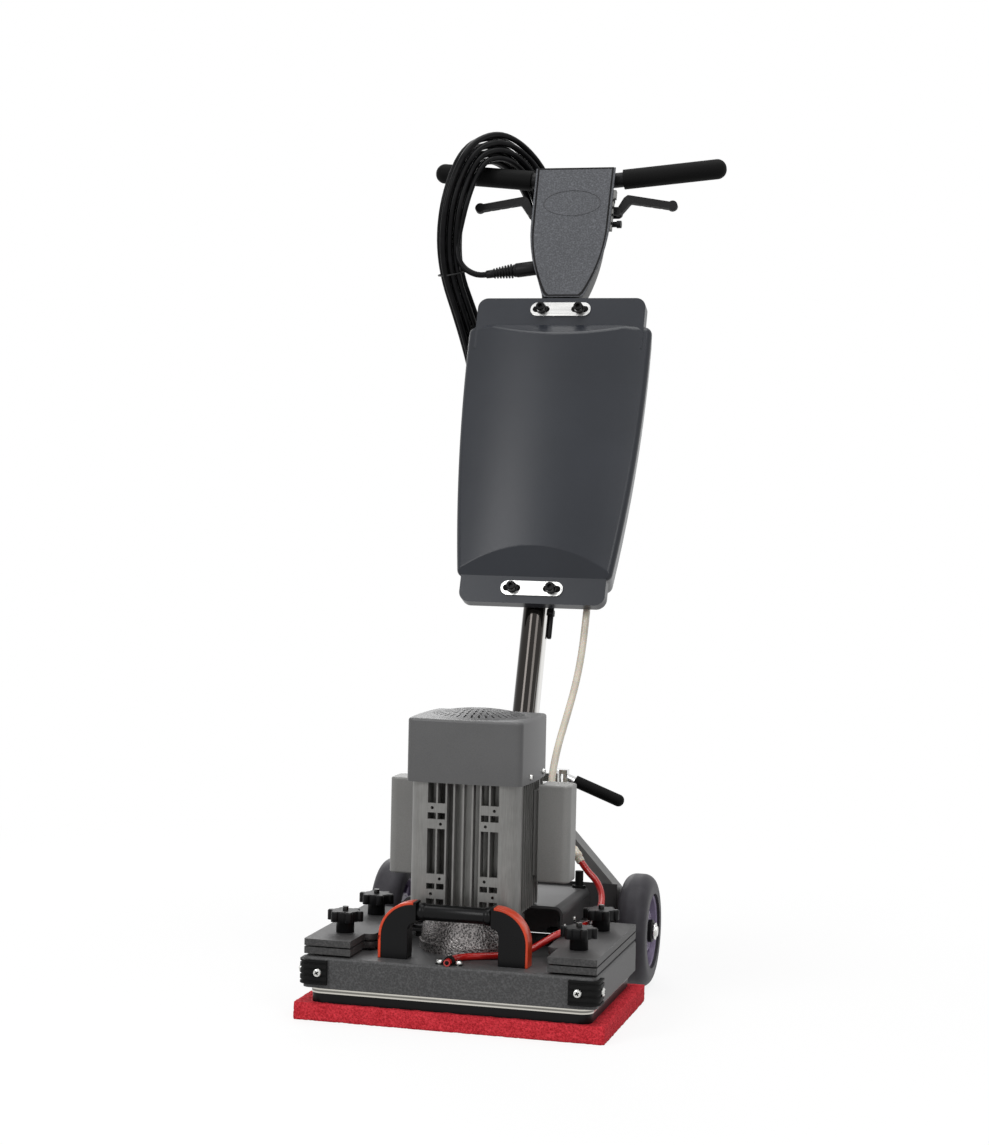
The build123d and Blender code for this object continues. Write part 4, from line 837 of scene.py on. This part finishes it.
def makeDeckScrews():
    screws = dict(bumperHead=0.0058, bumperRise=0.0034, bumperIn=(0.024, 0.018), coverHead=0.0042, coverRise=0.0048,
                  coverSunk=0.0022, coverRows=(-0.034, 0.046), coverLevel=0.3335, clipHead=0.0052, clipRise=0.0046,
                  clipApart=0.013, boltRows=(0.060, 0.128), boltUp=0.002, bolt=0.007, boltRise=0.0042)
    form = Form("deckScrews")
    bumper = middle("corner_bumper_right").z
    front, side = low("corner_bumper_right").y, high("corner_bumper_right").x
    deck, cover, clip = high("deck_housing"), high("fan_cover").x, middle("hose_clip")
    bracket = high("bridge_brackets").x
    boltLevel = 0.5 * (low("bridge_brackets").z + high("bridge_brackets").z) + screws["boltUp"]
    inX, inY = screws["bumperIn"]
    for turn in (-1, 1):
        outward = (turn, 0, 0)
        addPanHead(form, facing((turn * (deck.x - inX), front, bumper), (0, -1, 0)), screws["bumperHead"],
                   screws["bumperRise"])
        addPanHead(form, facing((turn * side, low("deck_housing").y + inY, bumper), outward), screws["bumperHead"],
                   screws["bumperRise"])
        for row in screws["coverRows"]:
            addPanHead(form, facing((turn * (cover - screws["coverSunk"]), row, screws["coverLevel"]), outward),
                       screws["coverHead"], screws["coverRise"])
        addPanHead(form, facing((clip.x + turn * screws["clipApart"], clip.y, deck.z + 0.002), (0, -0.15, 1)),
                   screws["clipHead"], screws["clipRise"])
        for row in screws["boltRows"]:
            addHexagon(form, facing((turn * bracket, row, boltLevel), outward), screws["bolt"], screws["boltRise"])
    addPiece("deckScrews", form.done(), "deck", ["zinc", "paintedShade"], ["deck_screws"], smooth=False)


def makeTankFixings():
    fixings = dict(head=0.0072, rise=0.0135, apart=0.030, levels=(0.742, 0.279), front=-0.0465, ribs=20,
                   slotHalf=0.0085, slotRadius=0.0052, slotShadeSheet=0.0005)
    form = Form("strapScrews")
    slots = Form("strapSlotShade")
    turned = handleFrame.to_3x3()
    forward = turned @ Vector((0, -1, 0))
    across = Matrix((turned @ Vector((1, 0, 0)), turned @ Vector((0, 0, 1)), forward)).transposed().to_4x4()
    head, rise, half, radius = fixings["head"], fixings["rise"], fixings["slotHalf"], fixings["slotRadius"]
    stadium = [(end * (half + radius * sin(pi * step / 8)), end * radius * cos(pi * step / 8))
               for end in (1, -1) for step in range(9)]
    for level in fixings["levels"]:
        for side in (-1, 1):
            place = facing(onHandle(side * fixings["apart"], fixings["front"], level), forward)
            form.turned([(0, -0.0005), (head * 1.18, -0.0005), (head * 1.18, 0.0013), (head * 0.98, 0.0018),
                         (head, 0.0032), (head, rise - 0.0016), (head * 0.9, rise - 0.0003), (head * 0.8, rise),
                         (head * 0.5, rise), (head * 0.46, rise - 0.0008), (head * 0.46, rise - 0.005),
                         (0, rise - 0.005)], place, 0, 32)
            for rib in range(fixings["ribs"]):
                form.block((head - 0.0003, -0.0004, 0.004), (head + 0.0003, 0.0004, rise - 0.002), 0.0, 0,
                           place @ Matrix.Rotation(2 * pi * rib / fixings["ribs"], 4, "Z"))
            # each strap slot is a thin near-black stadium sheet laid on the strap: painted shade in the slot
            seat = onHandle(side * fixings["apart"] * 1.03, fixings["front"] + 0.0003, level)
            slots.cut(stadium, fixings["slotShadeSheet"], Matrix.Translation(seat) @ across)
    addPiece("strapScrews", form.done(), "handle", ["glossBlack"], ["strap_screws"], smooth=False)
    addPiece("strapSlotShade", slots.done(), "handle", ["paintedShade"], slot=materialSlot["strap_screws"])


makeDeckScrews()
makeTankFixings()
print("screws")


# Wheels

def makeWheelHub(side):
    hub = dict(spokes=6, ring=0.0545, inner=0.0485, disc=0.0310, bearing=0.0165)
    name = "right" if side > 0 else "left"
    node = "wheel_hub_" + name
    place = facing(middle(node), (side, 0, 0))
    form = Form(node)
    ring, inner, disc, bearing = hub["ring"], hub["inner"], hub["disc"], hub["bearing"]
    # rim with its pale lip, both faces
    form.turned([(ring, -0.016), (ring, 0.0172), (ring - 0.0008, 0.0180), (inner + 0.0028, 0.0180),
                 (inner + 0.0016, 0.0165), (inner, 0.004), (inner, -0.004), (inner + 0.0016, -0.0165),
                 (inner + 0.0028, -0.0180), (ring - 0.0008, -0.0180)], place, 1, 64, True)
    form.turned([(inner + 0.001, -0.0035), (inner + 0.001, 0.0035), (disc - 0.001, 0.0055), (disc - 0.001, -0.0055)],
                place, 0, 64, True)
    form.turned([(disc, -0.0120), (disc, 0.0118), (disc - 0.0014, 0.0135), (disc - 0.004, 0.0135),
                 (disc - 0.0052, 0.0122), (bearing + 0.0022, 0.0122), (bearing + 0.0010, 0.0150), (0.0085, 0.0150),
                 (0.0085, -0.0150), (bearing + 0.0010, -0.0150), (bearing + 0.0022, -0.0122),
                 (disc - 0.0052, -0.0122), (disc - 0.004, -0.0135), (disc - 0.0014, -0.0135)], place, 1, 64, True)
    form.turned([(bearing, 0.0145), (bearing, 0.0205), (bearing - 0.002, 0.0220), (0.0078, 0.0220), (0.0078, 0.0145)],
                place, 2, 48, True)
    for spoke in range(hub["spokes"]):
        turn = place @ Matrix.Rotation(2 * pi * spoke / hub["spokes"] + 0.3, 4, "Z")
        form.block((disc - 0.003, -0.0045, -0.0100), (inner + 0.0015, 0.0045, 0.0105), 0.0012, 1, turn)
    addPiece("wheelHub" + name.title(), form.done(), "wheel_" + name, ["hub", "hubPale", "black"], [node],
             smooth=False)


for side in (-1, 1):
    makeWheelHub(side)
print("wheels")


# Lift handle, and the parts round the control housing

def makeLiftBar():
    bar = dict(sleeve=0.0128, grip=0.0112, sleeveLength=0.010)
    start, end = low("lift_handle_bar"), high("lift_handle_bar")
    half = (end.x - start.x) / 2
    sleeve, grip, length = bar["sleeve"] - 0.0003, bar["grip"], bar["sleeveLength"]
    profile = [(0, -half), (sleeve, -half), (sleeve, -half + length - 0.0006), (sleeve - 0.0006, -half + length),
               (grip + 0.0002, -half + length + 0.0006), (grip, -half + length + 0.0012)]
    profile += [(grip, half - length - 0.0012), (grip + 0.0002, half - length - 0.0006),
                (sleeve - 0.0006, half - length), (sleeve, half - length + 0.0006), (sleeve, half), (0, half)]
    form = Form("liftBar")
    form.turned(profile, facing(middle("lift_handle_bar"), (1, 0, 0)), 0, 48)
    addPiece("liftBar", form.done(), "deck", ["glossBlack"], ["lift_handle_bar"])


def makeControlDetails():
    detail = dict(stripFrom=0.884, stripTo=0.955, notches=(0.893, 0.908, 0.921, 0.934), pinApart=0.0155,
                  pinLevel=0.757, leadFrom=(0.0232, 0.004, 0.216))
    form = Form("sideBracket")
    form.block((0.0600, -0.0375, detail["stripFrom"]), (0.0668, -0.0300, detail["stripTo"]), 0.0006, 0,
               handleFrame)
    form.block((0.0600, -0.0378, 0.940), (0.0690, -0.0290, 0.9545), 0.0006, 0, handleFrame)
    # the notches are blocks in the near-black paint on the strip: painted shade standing for the gaps
    for notch in detail["notches"]:
        form.block((0.0650, -0.0380, notch), (0.0672, -0.0296, notch + 0.0045), 0.0, 1, handleFrame)
    addPiece("sideBracket", form.done(), "handle", ["bracketGrey", "paintedShade"], slot=materialSlot["tank_straps"],
             smooth=False)
    pins = Form("platePins")
    for side in (-1, 1):
        start = onHandle(side * detail["pinApart"], -0.034, detail["pinLevel"])
        pins.turned([(0, 0), (0.0030, 0), (0.0030, 0.0105), (0, 0.0105)], facing(start, tubeAxis), 0, 20)
    addPiece("platePins", pins.done(), "handle", ["zinc"], slot=materialSlot["tank_straps"])
    guide = Form("tubeLead")
    guide.turned([(0, 0), (0.0030, 0), (0.0036, 0.002), (0.0036, 0.050), (0.0030, 0.054), (0, 0.054)],
                 facing(onHandle(*detail["leadFrom"]), tubeAxis), 0, 24)
    guide.block((0.0170, -0.004, 0.252), (0.0275, 0.010, 0.262), 0.0015, 0, handleFrame)
    addPiece("tubeLead", guide.done(), "handle", ["black"], slot=materialSlot["cord_gland"])


# The pressed oval is a low bead in the plate's own paint
def makeControlPlate():
    plate = dict(front=-0.040, sheet=0.0025, oval=(0.0462, 0.0222), ovalLevel=0.931, bead=0.0017, rise=0.0007)
    right = [(0.0295, 0.7662), (0.0345, 0.7712), (0.0436, 0.797), (0.0512, 0.8170), (0.0560, 0.8330),
             (0.0604, 0.8540), (0.0631, 0.8740), (0.0640, 0.8900), (0.0648, 0.9938)]
    outline = right + [(-x, level) for x, level in reversed(right)]
    across = handleFrame @ Matrix(((1, 0, 0, 0), (0, 0, -1, plate["front"] + plate["sheet"]), (0, 1, 0, 0),
                                   (0, 0, 0, 1)))
    form = Form("controlPlate")
    form.cut(outline, plate["sheet"], across, 0.0007)
    half, rise = plate["bead"] / plate["oval"][0] / 2, plate["rise"]
    oval = across @ Matrix.Translation((0, plate["ovalLevel"], plate["sheet"])) @ Matrix.Diagonal(
        (*plate["oval"], 1, 1))
    form.turned([(1 - half, -0.0003), (1 - half, rise * 0.5), (1 - half * 0.4, rise), (1 + half * 0.4, rise),
                 (1 + half, rise * 0.5), (1 + half, -0.0003)], oval, 0, 72, True)
    # inside the bead a thin flush ring in the dark paint: painted shade of the groove along the bead
    form.turned([(1 - half * 1.9, -0.0003), (1 - half * 1.9, 0.00008), (1 - half * 0.98, 0.00008),
                 (1 - half * 0.98, -0.0003)], oval, 1, 72, True)
    addPiece("controlPlate", form.done(), "handle", ["controlGrey", "darkPaint"], ["control_plate"], smooth=False)


makeLiftBar()
makeControlDetails()
makeControlPlate()
print("handles")


def dressFrame():
    looks = dict(
        deck_housing="deckGrey", weight_plates_left="plateGrey", weight_plates_right="plateGrey",
        corner_bumper_left="rubberBlack", corner_bumper_right="rubberBlack", weight_studs="darkSteel",
        lift_handle_leg_left="glossBlack", lift_handle_leg_right="glossBlack", lift_handle_trims="orange",
        # the motor stator takes the near-black painted shade, so the frame's windows read as dark
        motor_base="baseSilver", motor_frame="frameGrey", motor_stator="paintedShade", fan_cover="coverGrey",
        capacitor_box_left="boxGrey", capacitor_box_right="boxGrey", chassis_bridge="darkPaint",
        bridge_brackets="darkBracket", rubber_mounts="rubberBlack", yoke_arm_left="yokeGrey",
        yoke_arm_right="yokeGrey", wheel_axle="zinc", pivot_bolt="zinc", hose_clip="rubberBlack",
        handle_tube="tube", water_tank="tank", tank_straps="stainless", handlebar="black", grip_left="gripBlack",
        grip_right="gripBlack", lock_lever_fork="chrome", lock_lever_grip="gripBlack",
        driver_edge_strip="edgeStrip", motor_rotor="zinc", eccentric_hub="zinc", wheel_tyre_left="tyre",
        wheel_tyre_right="tyre")
    for node, piece in frame["nodes"].items():
        for materialPlace in piece.material_slots:
            materialPlace.material = paint[looks.get(node, "black")].material


def roundEdges():
    widths = dict(
        weight_plates_left=0.0007, weight_plates_right=0.0007, lift_handle_leg_left=0.0030,
        lift_handle_leg_right=0.0030, lift_handle_trims=0.0008, bridge_brackets=0.0006, chassis_bridge=0.0008,
        yoke_arm_left=0.0020, yoke_arm_right=0.0020, knob_front_left=0.0012, knob_front_right=0.0012,
        knob_rear_left=0.0012, knob_rear_right=0.0012, trigger_left=0.0016,
        trigger_right=0.0016, driver_plate=0.0010, tank_straps=0.0004, corner_bumper_left=0.0004,
        corner_bumper_right=0.0004, wheel_axle=0.0008, lock_lever_fork=0.0008, tank_cap=0.0008)
    for node, width in widths.items():
        roundEdge(node, width)


dressFrame()
roundEdges()
print("materials and edges")
